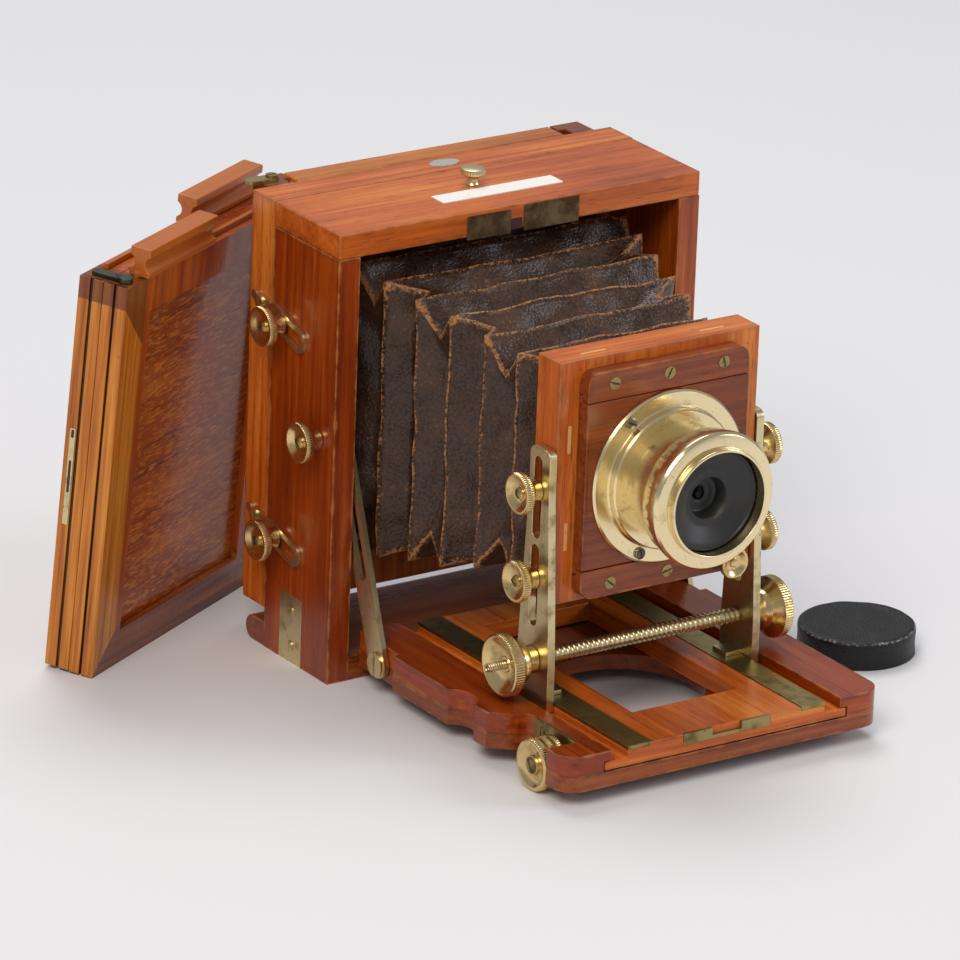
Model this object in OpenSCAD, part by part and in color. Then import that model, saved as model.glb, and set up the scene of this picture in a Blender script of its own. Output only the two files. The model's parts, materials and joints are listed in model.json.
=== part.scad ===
// Folding view camera of wood and brass, opened on its baseboard, with its lens cap
// and a book-form double plate holder standing beside it.
// Millimetres. X is to the camera's left-hand side seen from behind, -Y is where the lens
// looks, +Z is up. The origin is under the middle of the box's front face, on the table.

/* [Box] */
// Outside width of the box
box_w = 150; // [125:1:185]
// Outside height of the box
box_h = 165; // [150:1:200]
// Depth of the box's fixed front section
front_d = 41.5; // [38:0.5:52]
// Thickness of the two sides
wall = 8.5; // [7:0.5:10.5]
// Thickness of the top board and of the floor board
board_t = 9; // [7:0.5:11]
// How far the floor board runs on behind the front section
ledge = 12; // [8:0.5:13]

/* [Swing back] */
// Depth of the swinging back frame
back_d = 14; // [11:0.5:18]
// Width of the window through the back frame
window_w = 104; // [84:1:106]
// Height of the window through the back frame
window_h = 122; // [100:1:124]
// Width of the focusing screen's frame
screen_w = 112; // [110:0.5:113]
// Thickness of the focusing screen's frame
screen_t = 11; // [9:0.5:14]
// Thickness of the ground glass
glass_t = 2; // [1.5:0.1:3]

/* [Baseboard] */
// Length of the baseboard
base_len = 131; // [126:1:160]
// Thickness of the baseboard over its rails
base_t = 13; // [12.5:0.5:16]
// Thickness of the baseboard's lower board
lower_t = 5.5; // [5:0.25:6]
// Height of the baseboard above the table
base_lift = 6; // [6:0.25:9]
// Radius of the round hole for the tripod's ring
ring_hole_r = 28; // [22:0.5:29]
// Radius of the baseboard's front corners
corner_r = 8; // [4:0.5:10]

/* [Stays] */
// Width of a stay
stay_w = 10; // [9:0.5:12]
// Thickness of a stay
stay_t = 2; // [1.5:0.1:2.2]
// Length of a stay past its pivot
stay_len = 92; // [88:1:110]

/* [Lens standard] */
// Distance of the standard in front of the box
standard_y = 80; // [76:1:90]
// Width of the lens frame
lens_w = 82; // [76:1:90]
// Height of the lens frame
lens_h = 87; // [80:1:96]
// Height of the lens axis above the table
axis_z = 95; // [92:1:100]
// Thickness of the lens frame
lens_t = 13; // [10:0.5:15]
// Thickness of the brass uprights
upright_t = 3; // [2:0.25:3.5]
// Height of the top of the uprights
upright_top = 109; // [106:1:118]
// Height of the cross rod's axis
cross_z = 32.5; // [31.5:0.5:38]

/* [Lens] */
// Radius of the mounting flange
flange_r = 31; // [27:0.5:31]
// Radius of the lens barrel
barrel_r = 21; // [19:0.25:22]
// Length of the barrel in front of its flange
barrel_len = 21; // [18:0.5:28]
// Widest radius of the turning hood ring
hood_r = 24.5; // [23.5:0.25:27]
// Radius of the hood's front rim, which the cap goes over
rim_r = 19.4; // [18:0.1:19.8]

/* [Knobs] */
// Radius of the small milled nuts
knob_r = 7.3; // [6:0.1:8.5]
// Length of a small milled nut
knob_len = 8.5; // [7:0.25:10]
// Radius of the nuts' screws
stem_r = 2; // [1.6:0.05:2.1]
// Radius of the two large clamp nuts
clamp_r = 11; // [9:0.25:12]
// Radius of the focusing knob
focus_r = 9.2; // [8:0.1:9.2]

/* [Bellows] */
// Number of outer folds
folds = 7; // [5:1:8]
// Depth of a fold
fold_depth = 9; // [5:0.5:10]
// Thickness of the folded leather
skin_t = 0.8; // [0.6:0.1:1.2]
// Half width at the front
bellows_front_w = 39.5; // [34:0.5:40]
// Growth of the half width for each fold
fold_grow_w = 3.7; // [2.5:0.1:3.8]

/* [Lens cap] */
// Outside radius of the cap
cap_r = 21.2; // [20.6:0.1:24]
// Height of the cap
cap_h = 10.5; // [8:0.5:14]
// Thickness of the cap's wall
cap_wall = 1.4; // [1:0.1:1.6]

/* [Plate holder] */
// Width of the plate holder
holder_w = 115; // [100:1:130]
// Height of the plate holder
holder_h = 146; // [130:1:165]
// Thickness of one half of the plate holder
half_t = 9.5; // [8.5:0.25:12]
// Width of the plate holder's stiles
stile_w = 17; // [13:0.5:20]
// Thickness of a sliding shutter
shutter_t = 1.8; // [1.4:0.1:2.2]
// How far the plate holder leans, in degrees
holder_lean = 4.5; // [2:0.5:8]
// How far the plate holder is turned, in degrees
holder_turn = 28; // [20:1:35]

/* [Hidden] */

mahogany = [0.55, 0.2, 0.07];
dark_mahogany = [0.42, 0.14, 0.05];
satinwood = [0.78, 0.48, 0.18];
brass = [0.78, 0.62, 0.3];
dull_brass = [0.45, 0.4, 0.26];
leather = [0.17, 0.12, 0.1];
black_paint = [0.05, 0.05, 0.05];
glass = [0.85, 0.9, 0.88, 0.5];

// Clearances: a turning fit, a sliding fit, and the gap between parts that pass each other
turn_fit = 0.05;
slide_gap = 0.1;
gap = 0.3;
slack = 0.4;
cut = 1;

// Box
hx = box_w / 2;
ix = hx - wall;
inner_top = box_h - board_t;
plate_t = 1;
plate_w = 14;
plate_h = 25;
plate_y = front_d - 24;

// Swing back
back_y = front_d + gap;
back_rear = back_y + back_d;
back_z = board_t + 5.5;
window_z = (back_z + box_h) / 2 + 2;
guide_y = back_rear + gap;
guide_w = 9;
guide_lip = 3;
tongue_t = 5;
guide_x = screen_w / 2 + guide_lip + gap;
screen_z = back_z + 5;
sight_w = 96;
sight_h = 120;
glass_lap = 3;
latch_x = guide_x + guide_w / 2;
latch_y = guide_y + screen_t / 2;
latch_pin = 6;
latch_pin_r = 1;
latch_len = 8;
latch_w = 5;

// Slotted plates of the swing back: each turns on a screw in the back frame
stem_y = front_d - 7.5;
stem_upper_z = box_h - 42;
stem_lower_z = 44;
tail_dy = 13.4;
tail_dz = 4;
slot_slope = atan2(tail_dz, tail_dy);
tail_len = norm([tail_dy, tail_dz]);
slot_reach = 11;
slot_plate_w = 8.6;
slot_plate_t = 1.2;

// Baseboard
base_hw = ix - 0.5;
base_back = -2.5;
base_front = base_back - base_len;
base_top = base_lift + base_t;
lower_top = base_lift + lower_t;
lip_t = 3.7;
lip_z = base_top - lip_t;
focus_hw = lens_w / 2;
tongue_hw = focus_hw + 9;
lip_x = focus_hw + 6.5;
hole_y = base_back - 70.5;
stay_recess = stay_t + 0.5;
stay_recess_y = base_back - 25;
notch_r = 9;
notch_y = base_back - 67.5;
notch_out = 4;
recess_x = base_hw - 13;
recess_front = base_front + 12;
recess_back = base_front + 41;
recess_r = 5;

// Base hinges
pin_y = -1.2;
pin_z = base_lift - 0.4;
leaf_t = 0.8;
knuckle_r = 1.15;
knuckle_len = 5;
hinge_x = base_hw * 0.55;
leaf_w = 3 * knuckle_len;
leaf_len = 12;

// Stays: each turns on the baseboard, and its slot runs over a screw in the box's side
pivot_y = -17;
pivot_z = base_lift + 6;
clamp_y = 10.8;
clamp_z = base_lift + 81.8;
stay_x = base_hw - 0.1;
stay_lean = atan2(clamp_y - pivot_y, clamp_z - pivot_z);
stay_slot_from = 32;
stay_screw_r = 2;
stay_head_r = 4.4;
head_t = 1.7;

// Rack and pinion
teeth = 12;
pitch_r = 3.6;
addendum = 0.55;
dedendum = 0.75;
tooth_tip = 0.4;
tooth_root = 1;
shaft_r = 1.5;
shaft_y = recess_front + 9.5;
shaft_z = base_lift + 3.2;
pinion_x = focus_hw - 5;
pinion_w = 4;
pitch_z = shaft_z + pitch_r;
tooth_pitch = 2 * PI * pitch_r / teeth;
rack_root = pitch_z + dedendum;
rack_top = rack_root + 1.4;
rack_front_teeth = 4;
rack_back_teeth = 17;
bracket_t = 1.2;

// Focusing frame
frame_z = lower_top + 0.4;
frame_top = base_top - 0.2;
strip_w = 10;
strip_t = 1.4;
strip_top = base_top;
tongue_top = lip_z - gap;
batten_d = 25;
rear_batten_d = 14;
frame_back = base_back - 2;
frame_open_hw = 22;
catch_w = 36;
catch_t = 1.2;

// Standard
sy = -standard_y;
foot_z = strip_top + slide_gap;
foot_t = 1.5;
foot_len = 8;
foot_tab = 7;
upright_x = focus_hw + gap;
upright_foot = tongue_top + 0.5;
upright_low_w = 19;
upright_top_w = 12;
lens_z = axis_z - lens_h / 2 + 1.5;
lens_front = sy - lens_t / 2 + 1.5;
lens_back = lens_front + lens_t;
rise_y = sy + 1;
rise_upper_z = axis_z - 1.5;
rise_lower_z = axis_z - 33.3;
rise_slot_up = 12.5;
rise_slot_down = 15;
rise_slot_r = stem_r + 0.3;
screw_depth = 8;
tube_r = 2.7;
rod_r = 1.6;
rod_out = 18.5;
clamp_hub = 8;
clamp_len = 14;

// Front board: two battens with the sliding lens panel between them
board_hw = 33.2;
board_low = lens_z + 2;
board_high = lens_z + lens_h - 3.5;
batten_h = 10.3;
board_round = 5;
panel_t = 6;
lip = 2;
board_y = lens_front - panel_t;
batten_y = board_y + slide_gap;
light_hw = 28;
light_low = axis_z - 29;
light_high = axis_z + 30;
panel_knob_x = 27;
panel_knob_z = board_low + 4.6;
panel_stem_r = 1.3;

// Lens
flange_y = board_y;
flange_t = 2.2;
collar_r = barrel_r + 4;
collar_t = 3.5;
barrel_y = flange_y - flange_t;
barrel_bore = barrel_r - 2;
hood_y = barrel_y - barrel_len + 4;
hood_len = 10.5;
rim_len = 2.4;
stop_r = rim_r - 1.4;
stop_hole_r = 2.4;
screw_ring_r = flange_r - 3;

// Bellows
bellows_back_y = back_y - gap;
bellows_front_y = lens_back + gap;
bellows_front_h = 80;
bellows_back_hw = window_w / 2 + 4;
bellows_back_h = window_h + 4;
front_centre = axis_z;
back_centre = window_z;
fold_grow_h = 5.6;

// Lens cap and plate holder
cap_x = 107.5;
cap_y = -62;
holder_x = -143.7;
holder_y = 44.2;
rail_h = 13;
panel_in = 3;
plate_gap = 4;
joint_gap = 0.3;
groove_y = 2.6;
shutter_fit = 0.2;
shutter_in = 6;
edge_groove = 1.1;
edge_groove_y = 4.4;
lip_up = 10.5;
grip_out = 1;
lip_len = 46;
near_lip_x = 12;
far_lip_x = 66;
hook_x = 5;
hook_y = 4;
hook_pin = 4;
hook_pin_r = 0.9;

// ---------- shapes that repeat ----------

// A slot or bar with round ends, lying along +Y of the plane from the first centre
module capsule(from, to, r) {
    translate([-r, from]) square([2 * r, to - from]);
    for (v = [from, to]) translate([0, v]) circle(r = r, $fn = 48);
}

// Stands a flat shape up in the Y-Z plane: its x becomes Y and its y becomes Z
module upright_plane() {
    rotate([90, 0, 90]) children();
}

module mirror_x() {
    children();
    mirror([1, 0, 0]) children();
}

module at_left(x, y, z) {
    translate([-x, y, z]) rotate([0, -90, 0]) children();
}

module at_right(x, y, z) {
    translate([x, y, z]) rotate([0, 90, 0]) children();
}

// A turned nut with a dished face: its seat is at z = 0
module milled_nut(r, length, hub_r) {
    rim = length * 0.32;
    rotate_extrude($fn = 72) polygon([
        [0, 0], [hub_r, 0], [hub_r, length * 0.35], [r * 0.8, length - rim - 0.6], [r, length - rim],
        [r, length - 0.4], [r - 0.4, length], [r * 0.84, length], [r * 0.6, length * 0.82],
        [r * 0.3, length * 0.76], [r * 0.3, length * 0.92], [0, length * 0.92]
    ]);
}

// A nut on its own screw, which reaches back from the seat
module nut_on_screw(r, length, hub_r, screw_r, reach) {
    milled_nut(r, length, hub_r);
    translate([0, 0, -reach]) cylinder(r = screw_r, h = reach + 0.5, $fn = 48);
}

// A countersunk screw's head with its slot
module screw_head(r, t) {
    difference() {
        cylinder(r = r, h = t, $fn = 32);
        translate([-r - cut, -r * 0.14, t * 0.5]) cube([2 * (r + cut), r * 0.28, t]);
    }
}

// ---------- box ----------

module side_panel() {
    difference() {
        translate([-hx, 0, 0]) cube([wall, front_d, inner_top]);
        for (p = [[clamp_y, clamp_z], [stem_y, stem_upper_z], [stem_y, stem_lower_z]])
            at_left(ix - cut, p[0], p[1]) cylinder(r = stem_r + turn_fit, h = wall + 2 * cut, $fn = 48);
        translate([-hx - cut, plate_y, -cut]) cube([plate_t + cut, plate_w, plate_h + cut]);
    }
}

module left_side() {
    color(mahogany) side_panel();
}

module right_side() {
    color(mahogany) mirror([1, 0, 0]) side_panel();
}

module top_board() {
    color(mahogany) difference() {
        translate([-hx, 0, inner_top]) cube([box_w, front_d, board_t]);
        translate([-4, front_d - 16, inner_top - cut])
            cylinder(r = stem_r + turn_fit, h = board_t + 2 * cut, $fn = 48);
    }
}

module floor_board() {
    nose = board_t / 2;
    color(dark_mahogany) difference() {
        union() {
            translate([-ix, 0, 0]) cube([2 * ix, front_d, board_t]);
            translate([-hx, front_d, 0]) cube([box_w, ledge - nose, board_t]);
            at_left(-hx, front_d + ledge - nose, nose) cylinder(r = nose, h = box_w, $fn = 64);
        }
        for (s = [-1, 1]) translate([s * hinge_x - leaf_w / 2, -cut, base_lift - 4])
            cube([leaf_w, leaf_t + cut, 6]);
    }
}

module corner_plates() {
    color(brass) mirror_x() {
        translate([-hx, plate_y, 0]) cube([plate_t, plate_w, plate_h]);
        for (z = [6, plate_h - 6]) at_left(hx, plate_y + plate_w / 2, z) screw_head(1.9, 0.4);
    }
}

// Fixed leaves in the floor board's front edge, with the outer knuckles and the pin
module box_hinges() {
    color(dull_brass) for (s = [-1, 1]) translate([s * hinge_x, 0, 0]) {
        translate([-leaf_w / 2, 0, base_lift - 4]) cube([leaf_w, leaf_t, 6]);
        for (k = [-1, 1]) translate([k * knuckle_len - knuckle_len / 2 + 0.1, 0, 0]) {
            translate([0, pin_y, pin_z - leaf_t / 2]) cube([knuckle_len - 0.2, -pin_y + 0.2, leaf_t]);
            translate([0, pin_y, pin_z]) rotate([0, 90, 0])
                cylinder(r = knuckle_r, h = knuckle_len - 0.2, $fn = 40);
        }
        translate([-leaf_w / 2, pin_y, pin_z]) rotate([0, 90, 0]) cylinder(r = 0.5, h = leaf_w, $fn = 24);
    }
}

// Each fold is one ring out and one ring in, and the rings in pinch by turns the top and
// bottom, then the sides
pitch = (bellows_back_y - bellows_front_y) / (folds + 0.5);
function fold_w(i) = bellows_front_w + fold_grow_w * min(i, folds - 1);
function fold_h(i) = bellows_front_h + fold_grow_h * i;
function fold_c(i) = front_centre + (back_centre - front_centre) * i / folds;
function fold_y(i) = bellows_front_y + pitch * (i + 1);
function valley(i) = let (d = fold_depth, side = i % 2 == 0)
    [fold_w(i) + (side ? -d : 0) / 2, fold_y(i) - pitch / 2, fold_h(i) - (side ? d / 2 : d), fold_c(i)];
function ridge(i) = [fold_w(i), fold_y(i), fold_h(i), fold_c(i)];
rings = concat(
    [[bellows_front_w - 1, bellows_front_y, bellows_front_h - 4, front_centre]],
    [for (i = [0 : folds - 1]) each (i == 0 ? [ridge(i)] : [valley(i), ridge(i)])],
    [[bellows_back_hw, bellows_back_y, bellows_back_h, back_centre]]
);
function ring_points(r, t) = [for (s = [[-1, -1], [1, -1], [1, 1], [-1, 1]])
    [s[0] * (r[0] - t), r[1], r[3] + s[1] * (r[2] / 2 - t)]];

module bellows() {
    n = len(rings);
    outer = [for (r = rings) each ring_points(r, 0)];
    inner = [for (r = rings) each ring_points(r, skin_t)];
    skin = [for (i = [0 : n - 2], k = [0 : 3]) let (a = 4 * i + k, b = 4 * i + (k + 1) % 4)
        each [[a, b, b + 4], [a, b + 4, a + 4]]];
    lining = [for (f = skin) [f[2] + 4 * n, f[1] + 4 * n, f[0] + 4 * n]];
    front_lip = [for (k = [0 : 3]) let (a = k, b = (k + 1) % 4) each
        [[b, a, a + 4 * n], [b, a + 4 * n, b + 4 * n]]];
    back_lip = [for (k = [0 : 3]) let (a = 4 * (n - 1) + k, b = 4 * (n - 1) + (k + 1) % 4) each
        [[a, b, b + 4 * n], [a, b + 4 * n, a + 4 * n]]];
    color(leather) polyhedron(points = concat(outer, inner),
        faces = concat(skin, lining, front_lip, back_lip));
}

module top_knob() {
    color(brass) translate([-4, front_d - 16, box_h]) rotate_extrude($fn = 48) polygon([
        [0, -board_t], [stem_r, -board_t], [stem_r, 0.1], [stem_r + 0.4, 0.1], [stem_r, 2.6],
        [3.6, 3.4], [4.4, 4.2], [4.4, 5.4], [4, 5.8], [0, 6.2]
    ]);
}

// ---------- nuts on the box's sides ----------

module stay_knob() {
    color(brass) at_left(hx + 0.1, clamp_y, clamp_z) {
        nut_on_screw(knob_r, knob_len, 3.6, stem_r, wall + 0.1 + ix - stay_x + stay_t + 2);
        translate([0, 0, stay_x - hx - stay_t - slack - head_t])
            cylinder(r = stay_w / 2 - 0.6, h = head_t, $fn = 40);
    }
}

module stay_knob_left() {
    stay_knob();
}

module stay_knob_right() {
    mirror([1, 0, 0]) stay_knob();
}

module back_knob(z) {
    color(brass) at_left(hx + slot_plate_t + 2 * slide_gap, stem_y, z)
        nut_on_screw(knob_r, knob_len, 3.9, stem_r, wall + slot_plate_t);
}

module back_knob_upper_left() {
    back_knob(stem_upper_z);
}

module back_knob_lower_left() {
    back_knob(stem_lower_z);
}

module back_knob_upper_right() {
    mirror([1, 0, 0]) back_knob(stem_upper_z);
}

module back_knob_lower_right() {
    mirror([1, 0, 0]) back_knob(stem_lower_z);
}

// ---------- swing back and focusing screen ----------

module back_frame() {
    color(mahogany) difference() {
        translate([-hx, back_y, back_z]) cube([box_w, back_d, box_h - back_z]);
        translate([-window_w / 2, back_y - cut, window_z - window_h / 2])
            cube([window_w, back_d + 2 * cut, window_h]);
        for (z = [stem_upper_z, stem_lower_z]) mirror_x()
            at_left(hx - screw_depth, stem_y + tail_dy, z + tail_dz)
                cylinder(r = 1 + turn_fit, h = screw_depth + cut, $fn = 32);
    }
}

// Grooved runners that the focusing screen, and in its turn a plate holder, slides down
module screen_guides() {
    color(dark_mahogany) difference() {
        union() {
            mirror_x() {
                translate([-guide_x - guide_w, back_rear, back_z]) cube([guide_w, screen_t, box_h - back_z]);
                translate([-guide_x - cut, guide_y + tongue_t + gap, back_z])
                    cube([guide_lip + cut, screen_t - tongue_t - 2 * gap, box_h - back_z]);
            }
            translate([-guide_x - cut, back_rear, back_z])
                cube([2 * (guide_x + cut), screen_t, screen_z - gap - back_z]);
        }
        translate([-latch_x, latch_y, box_h - latch_pin])
            cylinder(r = latch_pin_r + turn_fit, h = latch_pin + cut, $fn = 32);
    }
}

module slot_plates(z) {
    color(brass) mirror_x() translate([0, stem_y + tail_dy, z + tail_dz]) {
        translate([-hx - slide_gap - slot_plate_t, 0, 0]) upright_plane() linear_extrude(slot_plate_t)
            rotate(90 + slot_slope) difference() {
                union() {
                    capsule(tail_len - 5, tail_len + slot_reach + 0.5, slot_plate_w / 2);
                    capsule(0, tail_len, 2.6);
                    translate([0, -4.2]) circle(r = 1.7, $fn = 32);
                }
                capsule(tail_len, tail_len + slot_reach, stem_r + slack);
                circle(r = 1 + turn_fit, $fn = 32);
            }
        at_left(hx - screw_depth + 0.5, 0, 0)
            cylinder(r = 1, h = screw_depth + slide_gap + slot_plate_t, $fn = 32);
        at_left(hx + slide_gap + slot_plate_t, 0, 0) screw_head(2.3, 0.9);
    }
}

module upper_slot_plates() {
    slot_plates(stem_upper_z);
}

module lower_slot_plates() {
    slot_plates(stem_lower_z);
}

module screen_frame() {
    color(satinwood) difference() {
        union() {
            translate([-screen_w / 2, guide_y, screen_z]) cube([screen_w, screen_t, box_h - screen_z]);
            translate([-screen_w / 2 - guide_lip, guide_y, screen_z])
                cube([screen_w + 2 * guide_lip, tongue_t, box_h - 2 - screen_z]);
        }
        translate([-sight_w / 2, guide_y - cut, window_z - sight_h / 2])
            cube([sight_w, screen_t + 2 * cut, sight_h]);
        translate([-sight_w / 2 - glass_lap, guide_y + 3, window_z - sight_h / 2 - glass_lap])
            cube([sight_w + 2 * glass_lap, glass_t, sight_h + 2 * glass_lap]);
    }
}

module ground_glass() {
    color(glass) translate([-sight_w / 2 - glass_lap, guide_y + 3, window_z - sight_h / 2 - glass_lap])
        cube([sight_w + 2 * glass_lap, glass_t, sight_h + 2 * glass_lap]);
}

// A turn catch on the runner's end that swings over the focusing screen's top edge
module screen_latch() {
    color(dull_brass) translate([-latch_x, latch_y, box_h + slide_gap]) {
        linear_extrude(1.2) rotate(90) capsule(0, latch_len, latch_w / 2);
        translate([0, 0, -latch_pin]) cylinder(r = latch_pin_r, h = latch_pin + 1, $fn = 32);
        translate([0, 0, 1.2]) screw_head(2.2, 0.8);
    }
}

// ---------- baseboard ----------

module base_outline() {
    difference() {
        union() {
            translate([-base_hw, base_front + corner_r]) square([2 * base_hw, base_len - corner_r]);
            translate([corner_r - base_hw, base_front])
                square([2 * (base_hw - corner_r), corner_r + cut]);
            for (s = [-1, 1]) translate([s * (base_hw - corner_r), base_front + corner_r])
                circle(r = corner_r, $fn = 64);
        }
        for (s = [-1, 1]) translate([s > 0 ? base_hw - stay_recess : -base_hw - cut, stay_recess_y])
            square([stay_recess + cut, base_back - stay_recess_y + cut]);
        translate([-base_hw - notch_out, notch_y]) circle(r = notch_r, $fn = 64);
        translate([-base_hw - cut, recess_front])
            square([base_hw + cut - recess_x, recess_back - recess_r - recess_front]);
        translate([-recess_x - recess_r, recess_back - recess_r]) circle(r = recess_r, $fn = 64);
        polygon([[-base_hw - cut, recess_back + 8], [-recess_x - recess_r, recess_back],
            [-recess_x - recess_r, recess_back - recess_r], [-base_hw - cut, recess_back - recess_r]]);
    }
}

module shaft_bore() {
    translate([-base_hw - cut, shaft_y, shaft_z]) rotate([0, 90, 0])
        cylinder(r = shaft_r + turn_fit, h = base_hw + pinion_x + 7 + cut, $fn = 40);
}

module lower_board() {
    color(mahogany) difference() {
        translate([0, 0, base_lift]) linear_extrude(lower_t) base_outline();
        translate([0, hole_y, base_lift - cut]) cylinder(r = ring_hole_r, h = lower_t + 2 * cut, $fn = 128);
        shaft_bore();
        for (s = [-1, 1]) translate([s * pinion_x - pinion_w / 2 - 1, shaft_y - 5.2, base_lift - cut])
            cube([pinion_w + 2, 10.4, lower_t + 2 * cut]);
        at_left(-base_hw - cut, pivot_y, pivot_z)
            cylinder(r = stay_screw_r + turn_fit, h = 2 * (base_hw + cut), $fn = 40);
    }
}

module rail(s) {
    color(mahogany) difference() {
        intersection() {
            translate([0, 0, lower_top]) linear_extrude(base_top - lower_top) base_outline();
            union() {
                translate([s > 0 ? tongue_hw + 0.5 : -base_hw, base_front - cut, lower_top])
                    cube([base_hw - tongue_hw - 0.5, base_len + 2 * cut, base_top - lower_top]);
                translate([s > 0 ? lip_x : -base_hw, base_front - cut, lip_z])
                    cube([base_hw - lip_x, base_len + 2 * cut, lip_t]);
            }
        }
        translate([s * (base_hw - 12), pivot_y, pivot_z]) rotate([0, s * 90, 0])
            cylinder(r = stay_screw_r + turn_fit, h = 12 + cut, $fn = 40);
    }
}

module left_rail() {
    rail(-1);
}

module right_rail() {
    rail(1);
}

module pinion_bracket() {
    bracket_len = recess_back - recess_r - recess_front;
    color(dull_brass) {
        difference() {
            translate([-recess_x - bracket_t, recess_front, base_lift])
                cube([bracket_t, bracket_len, base_t]);
            shaft_bore();
        }
        for (y = [recess_front + 3, recess_front + bracket_len - 4])
            at_left(recess_x + bracket_t, y, base_top - 3.5) screw_head(1.7, 0.5);
    }
}

module base_hinges() {
    color(dull_brass) for (s = [-1, 1]) translate([s * hinge_x, 0, 0]) {
        difference() {
            union() {
                translate([-knuckle_len / 2 + 0.1, pin_y, pin_z]) rotate([0, 90, 0])
                    cylinder(r = knuckle_r, h = knuckle_len - 0.2, $fn = 40);
                translate([-knuckle_len / 2 + 0.1, pin_y - 2, pin_z - leaf_t / 2])
                    cube([knuckle_len - 0.2, 2, leaf_t]);
                translate([-leaf_w / 2, base_back - leaf_len, pin_z - leaf_t / 2])
                    cube([leaf_w, leaf_len, leaf_t]);
            }
            translate([-leaf_w, pin_y, pin_z]) rotate([0, 90, 0])
                cylinder(r = 0.5 + turn_fit, h = 2 * leaf_w, $fn = 24);
        }
    }
}

module stay() {
    color(brass) translate([0, pivot_y, pivot_z]) {
        rotate([-stay_lean, 0, 0]) translate([-stay_x, 0, 0]) upright_plane() linear_extrude(stay_t)
            difference() {
                capsule(0, stay_len, stay_w / 2);
                capsule(stay_slot_from, stay_len - 1, stem_r + slack + 0.2);
            }
        at_left(stay_x, 0, 0) screw_head(stay_head_r, 1.1);
        at_left(stay_x - stay_t - 8, 0, 0) cylinder(r = stay_screw_r, h = 8 + cut, $fn = 40);
    }
}

module stay_left() {
    stay();
}

module stay_right() {
    mirror([1, 0, 0]) stay();
}

// ---------- rack and pinion ----------

function gear_points() = [for (k = [0 : teeth - 1]) let (a = 90 + 360 * k / teeth)
    for (p = [[pitch_r - dedendum, -tooth_root / 2], [pitch_r + addendum, -tooth_tip / 2],
        [pitch_r + addendum, tooth_tip / 2], [pitch_r - dedendum, tooth_root / 2]])
        [p[0] * cos(a) - p[1] * sin(a), p[0] * sin(a) + p[1] * cos(a)]];

module pinion() {
    color(dull_brass) {
        translate([-recess_x - bracket_t - 10, shaft_y, shaft_z]) rotate([0, 90, 0])
            cylinder(r = shaft_r, h = recess_x + bracket_t + 10 + pinion_x + 6, $fn = 40);
        for (s = [-1, 1]) translate([s * pinion_x - pinion_w / 2, shaft_y, shaft_z])
            upright_plane() linear_extrude(pinion_w) polygon(gear_points());
    }
}

module focus_knob() {
    from = recess_x + bracket_t + 0.3;
    color(brass) at_left(from, shaft_y, shaft_z) difference() {
        rotate_extrude($fn = 72) polygon([
            [0, 0], [3.6, 0], [3.6, 1.6], [focus_r - 0.6, 1.8], [focus_r, 2.3], [focus_r, 3.5],
            [focus_r - 1.6, 4.1], [focus_r - 1.6, 4.9], [focus_r, 5.5], [focus_r, 6.7],
            [focus_r - 1.6, 7.3], [focus_r - 1.6, 8.1], [focus_r, 8.7], [focus_r, 10.6],
            [focus_r - 0.5, 11.1], [focus_r - 1.5, 11.1], [focus_r - 4, 10], [3.4, 9.8], [3.4, 10.8],
            [0, 10.8]
        ]);
        translate([0, 0, -cut]) cylinder(r = shaft_r, h = 10 + cut - 0.3, $fn = 40);
        translate([-4, -0.5, 10.1]) cube([8, 1, 2]);
    }
}

// ---------- focusing frame ----------

module focus_frame() {
    color(mahogany) difference() {
        union() {
            translate([-focus_hw, base_front, frame_z])
                cube([2 * focus_hw, frame_back - base_front, frame_top - frame_z]);
            translate([-tongue_hw, base_front, frame_z])
                cube([2 * tongue_hw, frame_back - base_front, tongue_top - frame_z]);
        }
        translate([-frame_open_hw, base_front + batten_d, frame_z - cut])
            cube([2 * frame_open_hw, frame_back - rear_batten_d - base_front - batten_d, base_t]);
        for (s = [-1, 1]) {
            translate([s > 0 ? focus_hw - strip_w : -focus_hw - cut, base_front - cut, strip_top - strip_t])
                cube([strip_w + cut, base_len + cut, strip_t + cut]);
            translate([s * pinion_x - pinion_w / 2 - 1, base_front + 3, frame_z - cut])
                cube([pinion_w + 2, frame_back - base_front - 6, rack_top - frame_z + cut]);
        }
        translate([-catch_w / 2, base_front - cut, frame_top - 4]) cube([catch_w, catch_t + cut, 5]);
    }
}

module focus_strips() {
    color(dull_brass) mirror_x() translate([-focus_hw, base_front, strip_top - strip_t])
        cube([strip_w, frame_back - base_front, strip_t]);
}

module racks() {
    rack_from = shaft_y - (rack_front_teeth + 0.5) * tooth_pitch;
    rack_len = (rack_front_teeth + rack_back_teeth + 1) * tooth_pitch;
    color(brass) for (s = [-1, 1]) translate([s * pinion_x - pinion_w / 2, 0, 0]) {
        translate([0, rack_from, rack_root]) cube([pinion_w, rack_len, rack_top - rack_root]);
        for (k = [-rack_front_teeth : rack_back_teeth])
            translate([0, shaft_y + (k + 0.5) * tooth_pitch, rack_root]) upright_plane()
                linear_extrude(pinion_w) polygon([
                    [-tooth_root / 2, 0.2], [-tooth_root / 2, 0], [-tooth_tip / 2, -dedendum - addendum],
                    [tooth_tip / 2, -dedendum - addendum], [tooth_root / 2, 0], [tooth_root / 2, 0.2]
                ]);
    }
}

module frame_catch() {
    color(dull_brass) difference() {
        translate([-catch_w / 2, base_front, frame_top - 4]) cube([catch_w, catch_t, 4]);
        translate([-6, base_front - cut, frame_top - 2.6]) cube([12, catch_t + 2 * cut, 3]);
    }
}

// ---------- standard ----------

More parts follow.
